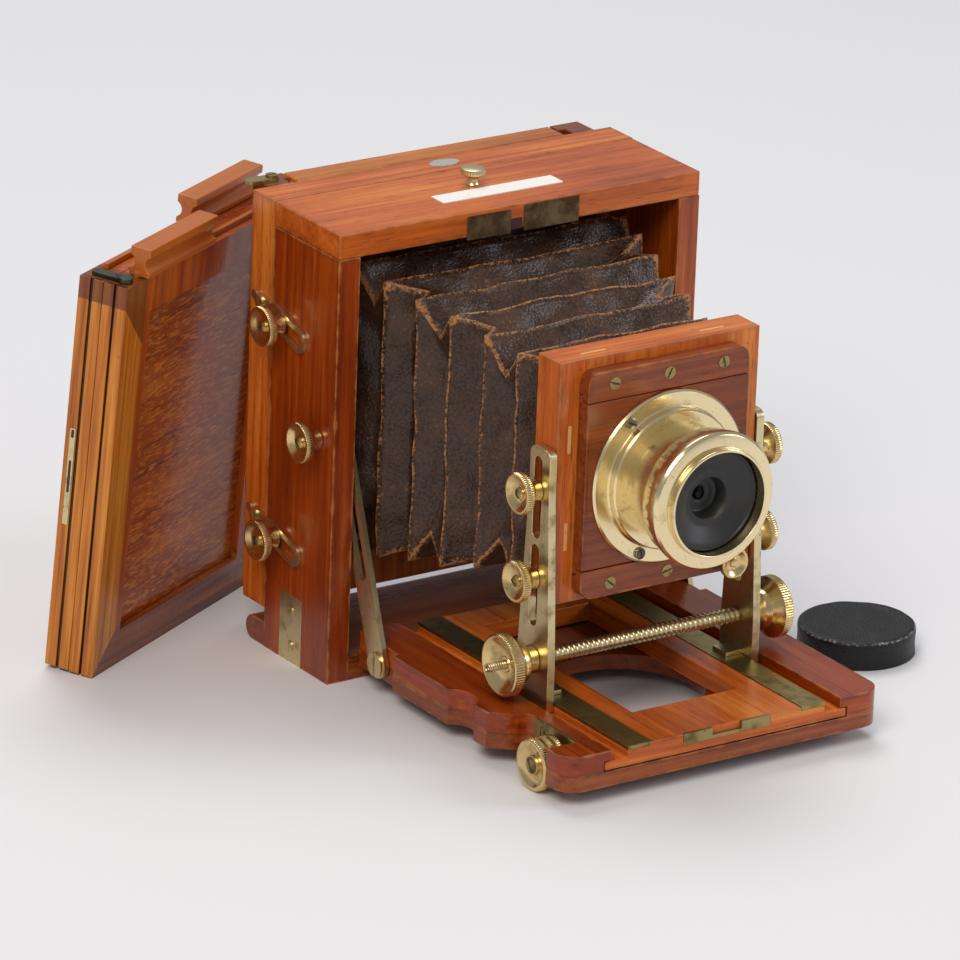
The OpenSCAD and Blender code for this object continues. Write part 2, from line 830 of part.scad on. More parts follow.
module upright() {
    plate_h0 = upright_top - upright_foot;
    color(brass) {
        difference() {
            translate([-upright_x - upright_t, sy, upright_foot]) upright_plane() linear_extrude(upright_t)
                difference() {
                    union() {
                        polygon([[-upright_low_w / 2, 0], [upright_low_w / 2, 0],
                            [upright_low_w / 2, cross_z - upright_foot],
                            [upright_top_w / 2, rise_upper_z - upright_foot],
                            [upright_top_w / 2, plate_h0 - 3], [-upright_top_w / 2, plate_h0 - 3],
                            [-upright_top_w / 2, rise_upper_z - upright_foot],
                            [-upright_low_w / 2, cross_z - upright_foot]]);
                        for (s = [-1, 1]) translate([s * (upright_top_w / 2 - 3), plate_h0 - 3])
                            circle(r = 3, $fn = 40);
                        translate([3 - upright_top_w / 2, plate_h0 - 3.5]) square([upright_top_w - 6, 3.5]);
                    }
                    for (z = [rise_upper_z, rise_lower_z]) translate([rise_y - sy, 0])
                        capsule(z - upright_foot - rise_slot_down, z - upright_foot + min(rise_slot_up,
                            upright_top - rise_upper_z - 3.5 - rise_slot_r), rise_slot_r);
                }
            at_left(upright_x - cut, sy, cross_z) cylinder(r = rod_r, h = upright_t + 2 * cut, $fn = 40);
        }
        translate([-upright_x - 0.1, sy - foot_len / 2, foot_z]) cube([foot_tab, foot_len, foot_t]);
    }
}

module left_upright() {
    upright();
}

module right_upright() {
    mirror([1, 0, 0]) upright();
}

module cross_rod() {
    color(brass) {
        difference() {
            at_left(-upright_x, sy, cross_z) cylinder(r = tube_r, h = 2 * upright_x, $fn = 48);
            at_left(-upright_x - cut, sy, cross_z) cylinder(r = rod_r, h = 2 * upright_x + 2 * cut, $fn = 40);
        }
        at_left(-upright_x - upright_t - clamp_len + 1, sy, cross_z)
            cylinder(r = rod_r, h = 2 * (upright_x + upright_t) + clamp_len - 1 + rod_out, $fn = 40);
    }
}

module clamp_knob() {
    l = clamp_len;
    r = clamp_r;
    color(brass) at_left(upright_x + upright_t + slide_gap, sy, cross_z) rotate_extrude($fn = 96) polygon([
        [rod_r + turn_fit, 0], [4.6, 0], [5, 3.4], [6.6, 4.4], [7.2, clamp_hub - 1], [r - 0.8, l - 4.2],
        [r, l - 3.6], [r, l - 0.8], [r - 0.6, l - 0.3], [r - 1.2, l - 0.3], [r * 0.62, l - 2.4], [3, l - 3.4],
        [rod_r + turn_fit, l - 3.4]
    ]);
}

module clamp_knob_left() {
    clamp_knob();
}

module clamp_knob_right() {
    mirror([1, 0, 0]) clamp_knob();
}

module lens_frame() {
    color(mahogany) difference() {
        translate([-lens_w / 2, lens_front, lens_z]) cube([lens_w, lens_t, lens_h]);
        translate([-light_hw, lens_front - cut, light_low])
            cube([2 * light_hw, lens_t + 2 * cut, light_high - light_low]);
        for (z = [rise_upper_z, rise_lower_z]) mirror_x() at_left(lens_w / 2 - screw_depth, rise_y, z)
            cylinder(r = stem_r + turn_fit, h = screw_depth + cut, $fn = 48);
        translate([panel_knob_x, lens_front + 5, panel_knob_z]) rotate([90, 0, 0])
            cylinder(r = panel_stem_r + turn_fit, h = 5 + cut, $fn = 32);
    }
}

// A batten with its two outer corners rounded: up is 1 for the top one and -1 for the lower one
module batten(up) {
    mid = batten_h - board_round;
    translate([0, batten_y + panel_t - slide_gap, up > 0 ? board_high - batten_h : board_low + batten_h])
        rotate([90, 0, 0]) mirror([0, up > 0 ? 0 : 1, 0]) linear_extrude(panel_t - slide_gap) {
            translate([-board_hw, 0]) square([2 * board_hw, mid]);
            translate([board_round - board_hw, 0]) square([2 * (board_hw - board_round), batten_h]);
            for (s = [-1, 1]) translate([s * (board_hw - board_round), mid])
                circle(r = board_round, $fn = 48);
        }
}

module front_battens() {
    color(dark_mahogany) difference() {
        for (up = [-1, 1]) batten(up);
        translate([-board_hw - cut, board_y + panel_t - 2 - gap, board_low + batten_h - lip - gap])
            cube([2 * (board_hw + cut), 3, board_high - board_low - 2 * batten_h + 2 * (lip + gap)]);
        translate([panel_knob_x, board_y + panel_t + cut, panel_knob_z]) rotate([90, 0, 0])
            cylinder(r = panel_stem_r + turn_fit, h = panel_t + 2 * cut, $fn = 32);
    }
}

module batten_screws() {
    color(dull_brass) {
        for (p = [[-22.5, board_high - 4.6], [0, board_high - 4.6], [22.5, board_high - 4.6],
            [-21, board_low + 4.6], [2.5, board_low + 4.6]])
            translate([p[0], batten_y, p[1]]) rotate([90, 0, 0]) screw_head(2.2, 0.25);
    }
}

module rise_knob(z) {
    seat = upright_x + upright_t + slide_gap;
    color(brass) at_left(seat, rise_y, z)
        nut_on_screw(knob_r, knob_len, 3.6, stem_r, seat - lens_w / 2 + screw_depth - 0.5);
}

module rise_knob_upper_left() {
    rise_knob(rise_upper_z);
}

module rise_knob_lower_left() {
    rise_knob(rise_lower_z);
}

module rise_knob_upper_right() {
    mirror([1, 0, 0]) rise_knob(rise_upper_z);
}

module rise_knob_lower_right() {
    mirror([1, 0, 0]) rise_knob(rise_lower_z);
}

module panel_knob() {
    color(brass) translate([panel_knob_x, board_y - slide_gap, panel_knob_z]) rotate([90, 0, 0])
        nut_on_screw(5.6, 6, 2.4, panel_stem_r, panel_t + 4);
}

module lens_panel() {
    low = board_low + batten_h + gap;
    high = board_high - batten_h - gap;
    color(mahogany) difference() {
        union() {
            translate([-board_hw, board_y, low]) cube([2 * board_hw, panel_t - gap, high - low]);
            translate([-board_hw, board_y + panel_t - 2, low - lip])
                cube([2 * board_hw, 2 - gap, high - low + 2 * lip]);
        }
        translate([0, board_y + panel_t + cut, axis_z]) rotate([90, 0, 0])
            cylinder(r = barrel_r + turn_fit, h = panel_t + 2 * cut, $fn = 96);
    }
}

// ---------- lens ----------

module along_axis(y) {
    translate([0, y, axis_z]) rotate([90, 0, 0]) children();
}

module lens_flange() {
    color(brass) {
        difference() {
            along_axis(flange_y) rotate_extrude($fn = 128) polygon([
                [barrel_r, 0], [flange_r, 0], [flange_r, flange_t - 0.7], [flange_r - 0.7, flange_t],
                [collar_r + 0.6, flange_t], [collar_r, flange_t + 0.5], [collar_r, flange_t + collar_t - 0.6],
                [collar_r - 0.6, flange_t + collar_t], [barrel_r, flange_t + collar_t]
            ]);
            for (a = [7, 127, 247]) along_axis(flange_y + cut) rotate(a) translate([screw_ring_r, 0])
                cylinder(r = 1.2, h = flange_t + 2 * cut, $fn = 32);
        }
        for (a = [7, 127, 247]) along_axis(flange_y) rotate(a) translate([screw_ring_r, 0]) {
            cylinder(r = 1.2, h = flange_t, $fn = 32);
            translate([0, 0, flange_t]) screw_head(2, 0.8);
        }
    }
}

module lens_barrel() {
    whole = panel_t - gap + flange_t + barrel_len;
    color(brass) along_axis(flange_y + panel_t - gap) rotate_extrude($fn = 128) polygon([
        [barrel_bore, 0], [barrel_r, 0], [barrel_r, whole - 3], [barrel_r - 1, whole - 3],
        [barrel_r - 1, whole], [barrel_bore, whole]
    ]);
}

// Black stop plate at the front of the barrel, dished towards its small hole
module lens_stop() {
    reach = barrel_bore;
    color(black_paint) along_axis(barrel_y - barrel_len + 5) rotate_extrude($fn = 96) polygon([
        [stop_hole_r, 0], [reach, 0], [reach, 5], [stop_r, 5], [stop_r, 9.4], [stop_r - 1, 9.6], [7.2, 6.4],
        [6.6, 5.6], [6.2, 2], [stop_hole_r, 1.6]
    ]);
}

module lens_glass() {
    sag = 2.4;
    edge = 1.6;
    half = barrel_bore;
    arc = (half * half + sag * sag) / (2 * sag);
    swing = asin(half / arc);
    color(glass) along_axis(barrel_y + 1) rotate_extrude($fn = 96) polygon(concat(
        [[0, -sag]], [for (k = [1 : 8]) [arc * sin(swing * k / 8), arc - sag - arc * cos(swing * k / 8)]],
        [for (k = [8 : -1 : 1]) [arc * sin(swing * k / 8), edge + sag - arc + arc * cos(swing * k / 8)]],
        [[0, edge + sag]]
    ));
}

module hood_ring() {
    l = hood_len;
    shoulder = barrel_len - (barrel_y - hood_y) + gap;
    color(brass) along_axis(hood_y) rotate_extrude($fn = 128) polygon([
        [barrel_r + turn_fit, 0], [hood_r - 1.6, 0], [hood_r - 1.2, 0.6], [hood_r, l - 3.4],
        [hood_r, l - 1.6], [hood_r - 0.8, l - 0.6], [rim_r + 1.2, l], [rim_r, l],
        [rim_r, l + rim_len - 0.3], [rim_r - 0.3, l + rim_len], [stop_r + gap, l + rim_len],
        [stop_r + gap, shoulder], [barrel_r + turn_fit, shoulder]
    ]);
}

// ---------- lens cap ----------

module lens_cap() {
    color(black_paint) translate([cap_x, cap_y, 0]) rotate_extrude($fn = 96) polygon([
        [cap_r - cap_wall, 0], [cap_r, 0], [cap_r, cap_h - 1.2], [cap_r - 1.2, cap_h], [0, cap_h],
        [0, cap_h - 1.8], [cap_r - cap_wall, cap_h - 1.8]
    ]);
}

// ---------- plate holder ----------

// Own frame of the plate holder: x across, y away from its near face, z up its height
module in_holder() {
    translate([holder_x, holder_y, 0]) rotate([holder_lean, 0, holder_turn]) children();
}

// One half, with its outer face at y = 0: a frame, a shutter groove and a plate rebate
module book_half() {
    color(mahogany) difference() {
        cube([holder_w, half_t, holder_h]);
        translate([stile_w, -cut, rail_h])
            cube([holder_w - 2 * stile_w, half_t + 2 * cut, holder_h - 2 * rail_h]);
        for (x = [-cut, holder_w - edge_groove]) translate([x, edge_groove_y, -cut])
            cube([edge_groove + cut, edge_groove, holder_h + 2 * cut]);
        translate([stile_w - shutter_in, groove_y, rail_h - shutter_in])
            cube([holder_w - 2 * (stile_w - shutter_in), shutter_t + 2 * shutter_fit, holder_h]);
        translate([stile_w - panel_in, half_t - plate_gap, rail_h - panel_in])
            cube([holder_w - 2 * (stile_w - panel_in), plate_gap + cut, holder_h - 2 * (rail_h - panel_in)]);
    }
}

// A shutter with its finger grip on the holder's top, waisted on both faces
module shutter(grip_x) {
    low = rail_h - shutter_in + gap;
    grip_t = 8;
    waist_r = 3;
    color(mahogany) {
        translate([stile_w - shutter_in + shutter_fit, groove_y + shutter_fit, low])
            cube([holder_w - 2 * (stile_w - shutter_in + shutter_fit), shutter_t, holder_h + 2 - low]);
        difference() {
            translate([grip_x, -grip_out, holder_h + gap]) cube([lip_len, grip_t, lip_up]);
            for (y = [-grip_out - waist_r * 0.35, grip_t - grip_out + waist_r * 0.35])
                translate([grip_x - cut, y, holder_h + gap + lip_up * 0.45]) rotate([0, 90, 0])
                    cylinder(r = waist_r, h = lip_len + 2 * cut, $fn = 40);
        }
    }
}

module near_half() {
    in_holder() difference() {
        book_half();
        translate([hook_x, hook_y, holder_h - hook_pin - gap])
            cylinder(r = hook_pin_r + turn_fit, h = hook_pin + cut, $fn = 24);
    }
}

module far_half() {
    in_holder() translate([0, 2 * half_t + joint_gap, 0]) mirror([0, 1, 0]) book_half();
}

module near_shutter() {
    in_holder() shutter(near_lip_x);
}

module far_shutter() {
    in_holder() translate([0, 2 * half_t + joint_gap, 0]) mirror([0, 1, 0]) shutter(far_lip_x);
}

// A hook on the near half's top corner that turns over a stud on the far half
module holder_latch() {
    color(dull_brass) in_holder() translate([hook_x, hook_y, holder_h + slide_gap]) {
        linear_extrude(1.4) capsule(0, 2 * half_t - 8, 2);
        cylinder(r = 2.6, h = 2, $fn = 32);
        translate([0, 0, -hook_pin]) cylinder(r = hook_pin_r, h = hook_pin + 1, $fn = 24);
    }
}

left_side();
right_side();
top_board();
floor_board();
corner_plates();
box_hinges();
bellows();
top_knob();
stay_knob_left();
stay_knob_right();
back_knob_upper_left();
back_knob_lower_left();
back_knob_upper_right();
back_knob_lower_right();
back_frame();
screen_guides();
upper_slot_plates();
lower_slot_plates();
screen_frame();
ground_glass();
screen_latch();
lower_board();
left_rail();
right_rail();
pinion_bracket();
base_hinges();
stay_left();
stay_right();
pinion();
focus_knob();
focus_frame();
focus_strips();
racks();
frame_catch();
left_upright();
right_upright();
cross_rod();
clamp_knob_left();
clamp_knob_right();
lens_frame();
front_battens();
batten_screws();
rise_knob_upper_left();
rise_knob_lower_left();
rise_knob_upper_right();
rise_knob_lower_right();
panel_knob();
lens_panel();
lens_flange();
lens_barrel();
lens_stop();
lens_glass();
hood_ring();
lens_cap();
near_half();
far_half();
near_shutter();
far_shutter();
holder_latch();
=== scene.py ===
# %% [markdown]
# # A wooden view camera
# This lesson dresses a folding field camera that is already built as solids. The solids set every
# size and carry every joint, so they are loaded first and stay where they are. What follows adds
# what the eye looks for: grain, worn edges, milled brass, folded leather.

# %% Load the solids and measure them
import json
import math

import bmesh
import bpy
from mathutils import Matrix, Vector, noise
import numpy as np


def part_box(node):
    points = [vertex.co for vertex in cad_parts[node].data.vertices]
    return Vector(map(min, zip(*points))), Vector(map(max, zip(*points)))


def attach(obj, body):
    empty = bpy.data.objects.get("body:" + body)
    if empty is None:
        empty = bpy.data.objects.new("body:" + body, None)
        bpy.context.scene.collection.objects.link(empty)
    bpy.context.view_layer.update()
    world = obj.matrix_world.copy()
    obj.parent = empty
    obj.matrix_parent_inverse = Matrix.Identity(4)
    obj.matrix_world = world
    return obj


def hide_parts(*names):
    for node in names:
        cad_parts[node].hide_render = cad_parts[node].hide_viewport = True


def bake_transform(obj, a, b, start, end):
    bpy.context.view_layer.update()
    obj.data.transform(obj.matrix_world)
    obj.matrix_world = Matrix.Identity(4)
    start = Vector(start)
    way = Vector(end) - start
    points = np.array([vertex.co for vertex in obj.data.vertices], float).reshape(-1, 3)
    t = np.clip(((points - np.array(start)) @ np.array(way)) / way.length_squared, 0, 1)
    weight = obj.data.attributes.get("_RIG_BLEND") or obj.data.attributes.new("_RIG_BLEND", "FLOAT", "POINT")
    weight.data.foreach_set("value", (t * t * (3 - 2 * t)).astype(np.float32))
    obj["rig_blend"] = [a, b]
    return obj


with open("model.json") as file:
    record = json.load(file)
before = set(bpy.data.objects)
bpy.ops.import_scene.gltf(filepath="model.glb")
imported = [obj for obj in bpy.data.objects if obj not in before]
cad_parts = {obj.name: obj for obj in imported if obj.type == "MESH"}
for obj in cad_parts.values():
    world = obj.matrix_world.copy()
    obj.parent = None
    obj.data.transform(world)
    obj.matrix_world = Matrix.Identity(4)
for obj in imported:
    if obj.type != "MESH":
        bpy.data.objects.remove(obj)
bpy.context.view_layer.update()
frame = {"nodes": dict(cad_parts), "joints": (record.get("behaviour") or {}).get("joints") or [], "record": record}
MM = 0.001
BODY = {node: body for body, nodes in frame["record"]["behaviour"]["bodies"].items() for node in nodes}
SLOT = {part["node"]: part["material_slot"] for part in frame["record"]["subparts"]}
scene = bpy.context.scene


def tint(code):
    """A colour written as six hexadecimal digits, as the linear values that shaders take."""
    parts = [int(code[i:i + 2], 16) / 255 for i in (0, 2, 4)]
    return (*[c / 12.92 if c < 0.04045 else ((c + 0.055) / 1.055) ** 2.4 for c in parts], 1)


# %% [markdown]
# ## Where the viewer stands
# A long lens from a few metres away keeps the box's edges nearly parallel, as in a catalogue. The
# camera is placed by angles round the subject, because they can be read at a glance.

# %% Camera
LOOK_AT = Vector((0, 0, 0.08))
AZIMUTH, ELEVATION, ROLL = math.radians(-34.45), math.radians(20.7), math.radians(-2.15)
DISTANCE, ASIDE, ABOVE = 2.656, 0.01193, 0.01619

back = Vector((math.sin(AZIMUTH) * math.cos(ELEVATION), -math.cos(AZIMUTH) * math.cos(ELEVATION),
               math.sin(ELEVATION)))
level = Vector((math.cos(AZIMUTH), math.sin(AZIMUTH), 0))
upright = back.cross(level)
right = math.cos(ROLL) * level - math.sin(ROLL) * upright
up = math.sin(ROLL) * level + math.cos(ROLL) * upright
viewer = bpy.data.objects.new("viewer", bpy.data.cameras.new("viewer"))
viewer.data.lens = 285.3
viewer.data.clip_end = 50
scene.collection.objects.link(viewer)
viewer.matrix_world = Matrix((right, up, back)).transposed().to_4x4()
viewer.location = LOOK_AT - ASIDE * right - ABOVE * up + DISTANCE * back
scene.camera = viewer
print("camera at", [round(c, 3) for c in viewer.location])

# %% [markdown]
# ## Shaders as sentences
# A finish is easier to read as arithmetic than as a heap of nodes. A `Wire` is one output of a
# node, and Python's operators on it add Math nodes. A `Finish` is a material, and its one `add`
# method makes every other kind of node.


# %% Wire and Finish
class Wire:
    """One output of a shader node."""

    def __init__(self, finish, socket):
        self.finish, self.socket = finish, socket

    def maths(self, operation, *values):
        return self.finish.add("Math", {"operation": operation}, dict(enumerate(values)))

    def __add__(self, other):
        return self.maths("ADD", self, other)

    def __sub__(self, other):
        return self.maths("SUBTRACT", self, other)

    def __rsub__(self, other):
        return self.maths("SUBTRACT", other, self)

    def __mul__(self, other):
        return self.maths("MULTIPLY", self, other)

    def __abs__(self):
        return self.maths("ABSOLUTE", self)

    __radd__, __rmul__ = __add__, __mul__

    def least(self, other):
        return self.maths("MINIMUM", self, other)

    def most(self, other):
        return self.maths("MAXIMUM", self, other)

    def ease(self, start, end):
        """0 at start, 1 at end, with a smooth run between them."""
        return self.finish.add("MapRange", {"interpolation_type": "SMOOTHSTEP"},
                               {"Value": self, "From Min": start, "From Max": end})


class Finish:
    """A material for one kind of surface, and the record's slot that it belongs to."""

    def __init__(self, name, slot):
        self.material = bpy.data.materials.new(name)
        self.material.use_nodes = True
        self.tree, self.slot = self.material.node_tree, slot
        self.tree.nodes.clear()

    def add(self, kind, settings=None, inputs=None, out=0):
        node = self.tree.nodes.new("ShaderNode" + kind)
        for key, value in (settings or {}).items():
            if key == "stops":
                ramp = node.color_ramp.elements
                while len(ramp) < len(value):
                    ramp.new(0.5)
                for stop, (at, colour) in zip(ramp, value):
                    stop.position, stop.color = at, colour
            else:
                setattr(node, key, value)
        for key, value in (inputs or {}).items():
            if isinstance(value, Wire):
                self.tree.links.new(value.socket, node.inputs[key])
            else:
                node.inputs[key].default_value = value
        return Wire(self, node.outputs[out] if node.outputs else None)

    def place(self, origin=(0, 0, 0), turn=(0, 0, 0)):
        """Object coordinates measured from an origin, in a frame turned with the piece."""
        where = self.add("TexCoord", out="Object")
        return self.add("Mapping", {"vector_type": "TEXTURE"},
                        {"Vector": where, "Location": origin, "Rotation": turn})

    def stretch(self, vector, amounts):
        return self.add("VectorMath", {"operation": "MULTIPLY"}, {0: vector, 1: amounts})

    def clouds(self, vector, scale=1.0, detail=2.0, rough=0.5):
        return self.add("TexNoise", {}, {"Vector": vector, "Scale": scale, "Detail": detail,
                                         "Roughness": rough})

    def mix(self, share, first, second):
        return self.add("Mix", {"data_type": "RGBA"}, {0: share, 6: first, 7: second}, out=2)

    def ramp(self, value, stops):
        return self.add("ValToRGB", {"stops": stops}, {"Fac": value})

    def bump(self, height, distance, strength=1.0):
        return self.add("Bump", {}, {"Height": height, "Distance": distance, "Strength": strength})

    def surface(self, **inputs):
        """Ends the material: each keyword is a Principled socket, with _ for its spaces."""
        named = {key.replace("_", " "): value for key, value in inputs.items()}
        shader = self.add("BsdfPrincipled", {}, named)
        self.add("OutputMaterial", {}, {"Surface": shader})
        return self


print("finishes are written with Wire and Finish")

# %% [markdown]
# ## Polished mahogany
# Cuban mahogany has straight grain, short dark pores and broad ribbons that shine in turn. Three
# noises give these, each stretched along the grain. French polish lies on top as a clear coat.
# Hands wear the polish off the corners first: each board's own box tells how far a point is from
# the nearest edge, which is the second smallest of the three distances to its faces.

# %% Wood
RED_WOOD = ("561b04", "a0430d", "d4761f")
BRIGHT_WOOD = ("7d2c08", "c35f1c", "ee9a3e")
DARK_WOOD = ("4e1702", "8f3506", "bd6015")
BROWN_WOOD = ("451907", "81390f", "b05f27")
GOLD_WOOD = ("7c3606", "bd6c17", "e09a35")
X, Y, Z = 0, 1, 2


def wood(name, slot, grain, low, high, tones=RED_WOOD, wear=0.55, origin=(0, 0, 0), turn=(0, 0, 0),
         figure=0.35, polish=0.4, spread=0.29, details=()):
    finish = Finish(name, slot)
    local = finish.place(origin, turn)
    shift = sum(ord(letter) for letter in name) % 97 * 0.13
    moved = finish.add("VectorMath", {"operation": "ADD"}, {0: local, 1: (shift, shift / 2, shift / 3)})

    def along(lengthwise, across):
        return finish.stretch(moved, [lengthwise if axis == grain else across for axis in (X, Y, Z)])

    streaks = finish.clouds(along(14, 420), detail=4, rough=0.62)
    ribbons = finish.clouds(along(9, 70), detail=2)
    if not any(turn) and grain != X:
        facing = finish.add("SeparateXYZ", {}, {"Vector": finish.add("TexCoord", out="Normal")}, out=grain)
        end = abs(facing).ease(0.5, 0.9)
        streaks = streaks + end * (finish.clouds(finish.stretch(moved, (18, 420, 420)), detail=4) - streaks)
        ribbons = ribbons + end * (0.5 - ribbons)
    pores = finish.clouds(along(130, 1900), detail=1).ease(0.62, 0.72)
    drift = finish.clouds(along(12, 22), detail=1)
    value = streaks * (1 - figure) + ribbons * figure + (drift - 0.5) * 0.35
    colour = finish.ramp(value, [(0.5 - spread, tint(tones[0])), (0.5, tint(tones[1])),
                                 (0.5 + spread * 1.1, tint(tones[2]))])
    colour = finish.mix(pores * 0.45, colour, tint("2a0f07"))

    split = finish.add("SeparateXYZ", {}, {"Vector": local})
    sides = [Wire(finish, split.socket.node.outputs[axis]) for axis in (X, Y, Z)]
    gaps = [(side - low[axis]).least(high[axis] - side) for axis, side in enumerate(sides)]
    smaller, larger = gaps[0].least(gaps[1]), gaps[0].most(gaps[1])
    edge = smaller.most(larger.least(gaps[2]))
    rub = finish.clouds(local, 160, detail=3)
    worn = (edge - (rub - 0.5) * 0.003).ease(0.75 * MM, -0.1 * MM) * wear
    # Darker within a few millimetres of each board's edges, and so along its joints.
    edge_darkening = (edge + rub * 0.005).ease(5 * MM, 1 * MM) * 0.35
    colour = finish.mix(edge_darkening, colour, tint("2a0c03"))
    colour = finish.mix(worn, colour, tint("b8763f"))
    for detail in details:
        colour = detail(finish, colour, sides, gaps, streaks, moved)
    knocks = finish.clouds(local, 420, detail=1).ease(0.76, 0.8)
    colour = finish.mix(knocks * 0.4, colour, tint("3a1306"))
    relief = streaks * 0.5 - pores * 0.8 - knocks * 0.6 + rub * 0.5
    return finish.surface(
        Base_Color=colour, Roughness=streaks * 0.2 + worn * 0.3 + 0.2, Normal=finish.bump(relief, 0.12 * MM, 0.5),
        Specular_IOR_Level=0.3, Coat_Weight=(1 - worn) * polish, Coat_Roughness=0.2, Coat_IOR=1.45)


print("wood: grain, pores, ribbons, worn edges")

# %% [markdown]
# ## Brass, bright and dull
# Lacquered brass keeps its gold where fingers turn it and goes olive where the lacquer has gone.
# Turned pieces carry fine rings from the lathe: a noise that reads only the distance from the
# axis, and the place along it, draws them on the faces and on the barrel alike.

# %% Brass


def brass(name, slot, gold="d9b465", dark="8a6a30", tarnish=0.5, rough=0.24, axis=None, centre=(0, 0, 0)):
    finish = Finish(name, slot)
    local = finish.place(centre)
    stains = finish.clouds(local, 130, detail=4, rough=0.6)
    specks = finish.clouds(local, 900, detail=2).ease(0.66, 0.76)
    if axis is None:
        marks = finish.clouds(finish.stretch(local, (300, 2600, 900)), detail=2)
    else:
        across = finish.stretch(local, [0 if n == axis else 1 for n in (X, Y, Z)])
        radius = finish.add("VectorMath", {"operation": "LENGTH"}, {0: across}, out="Value")
        split = finish.add("SeparateXYZ", {}, {"Vector": local}, out=axis)
        rings = finish.add("CombineXYZ", {}, {0: radius * 3200, 1: split * 3200})
        marks = finish.clouds(rings, detail=2)
    share = stains.ease(0.62 - tarnish * 0.3, 0.8 - tarnish * 0.2) * 0.8
    colour = finish.mix(share, tint(gold), tint(dark))
    colour = finish.mix(specks * 0.6, colour, tint("4a3818"))
    roughness = share * 0.2 + marks * 0.12 + specks * 0.2 + (rough - 0.05)
    relief = finish.bump(marks * 0.5 + stains * 0.6 - specks * 0.5, 0.05 * MM, 0.35)
    return finish.surface(Base_Color=colour, Metallic=1.0, Roughness=roughness, Normal=relief)


BRIGHT = brass("bright_brass", "brass", "e0c48c", "a98d55", 0.35, 0.22)
AGED = brass("aged_brass", "brass", "d9cb9f", "9a8a5c", 0.4, 0.3)
DULL = brass("dull_brass", "dull_brass", "a1915f", "625535", 0.5, 0.38)
TARNISHED = brass("tarnished_brass", "dull_brass", "7d6a4c", "4b3a26", 0.9, 0.5)
LENS_CENTRE = (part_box("lens_barrel")[0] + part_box("lens_barrel")[1]) / 2
LATHED = brass("lathed_brass", "brass", "efdcae", "c7ad74", 0.2, 0.18, axis=Y, centre=LENS_CENTRE)
print("brass finishes: bright, aged, dull, lathed")

# %% [markdown]
# ## Leather, paint, glass and bone
# Leather is pebbled: cells of a Voronoi pattern with fine creases between them. On the bellows the
# folds are rubbed down to the tan hide, so their finish reads an attribute named `rub` that the
# mesh carries. The cap has the same grain, dyed black and grey round its rim, where the hide is
# worn and where a highlight is painted.

# %% Leather


def leather(name, slot, deep, raised, hide, wear_and_highlight, scale=900, rough=0.5, soft=0.0,
            scuffing=0.4):
    """The function passed in gives a finish its worn share, from 0 to 1; on the cap that share is also a painted
    highlight.
    """
    finish = Finish(name, slot)
    local = finish.place()
    cells = finish.add("TexVoronoi", {"feature": "F1"}, {"Vector": local, "Scale": scale})
    creases = finish.clouds(local, scale * 0.35, detail=4, rough=0.65)
    cloud = finish.clouds(local, 55, detail=3)
    fray = finish.clouds(local, 750, detail=3, rough=0.7)
    # The deep colour fills the creases between the cells: painted shade in the grain.
    colour = finish.mix(cells, tint(raised), tint(deep))
    colour = finish.mix(cloud.ease(0.42, 0.66) * 0.7, colour, tint(raised))
    share = wear_and_highlight(finish, local)
    # On the cap the worn share is also the rim's painted highlight, in the hide colour.
    worn = (share + (fray - 0.5) * 1.6).ease(0.58, 0.9) * share.ease(0.05, 0.35)
    scuffs = (fray + cloud * 0.6).ease(0.92, 1.04) * scuffing
    colour = finish.mix(worn.most(scuffs), colour, tint(hide))
    dents = finish.clouds(local, 75, detail=1)
    relief = creases * 0.5 - cells * 0.6 + fray * worn * 1.5 + dents * soft
    return finish.surface(Base_Color=colour, Roughness=cloud * 0.25 + worn * 0.25 + (rough - 0.12), Specular_IOR_Level=0.4,
                          Normal=finish.bump(relief, 0.35 * MM, 0.8))


def rubbed_folds(finish, local):
    return finish.add("Attribute", {"attribute_name": "rub"}, out="Fac")


CAP_LOW, CAP_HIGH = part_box("lens_cap")
CAP_MID = (CAP_LOW + CAP_HIGH) / 2


def rim_wear_and_highlight(finish, local):
    """Worn, and a painted highlight, where the cap's top turns down into its side."""
    centred = finish.place(CAP_MID)
    flat = finish.stretch(centred, (1, 1, 0))
    radius = finish.add("VectorMath", {"operation": "LENGTH"}, {0: flat}, out="Value")
    height = finish.add("SeparateXYZ", {}, {"Vector": local}, out=Z)
    outward = radius.ease(CAP_HIGH.x - CAP_MID.x - 2.2 * MM, CAP_HIGH.x - CAP_MID.x - 0.3 * MM)
    return outward * height.ease(CAP_HIGH.z - 2 * MM, CAP_HIGH.z - 0.6 * MM) * 0.75


BELLOWS = leather("bellows_hide", "bellows_leather", "170d08", "4f3626", "a87347", rubbed_folds, 1000, 0.37,
                  soft=12.0)
# The cap's grey hide colour paints its worn rim, the rim's highlight and its scuffs.
CAP = leather("cap_hide", "cap_leather", "040404", "0b0b0c", "8c8a88", rim_wear_and_highlight, 1100, 0.46,
              scuffing=0.08)
print("leather: bellows and cap")

# %% Paint, glass, bone


def paint(name, slot, colour, rough):
    finish = Finish(name, slot)
    local = finish.place(LENS_CENTRE)
    flat = finish.stretch(local, (1, 0, 1))
    radius = finish.add("VectorMath", {"operation": "LENGTH"}, {0: flat}, out="Value")
    rings = finish.clouds(finish.add("CombineXYZ", {}, {0: radius * 2600}), detail=3)
    dust = finish.clouds(local, 1400, detail=2).ease(0.68, 0.8)
    shade = finish.mix(dust * 0.4 + rings * 0.12, tint(colour), tint("6f6f70"))
    return finish.surface(Base_Color=shade, Roughness=rings * 0.25 + (rough - 0.1),
                          Normal=finish.bump(rings, 0.06 * MM, 0.6))


def pane(name, slot, colour, rough):
    finish = Finish(name, slot)
    bloom = finish.clouds(finish.place(), 90, detail=3)
    return finish.surface(Base_Color=tint(colour), Roughness=bloom * 0.1 + rough, IOR=1.52,
                          Transmission_Weight=1.0)


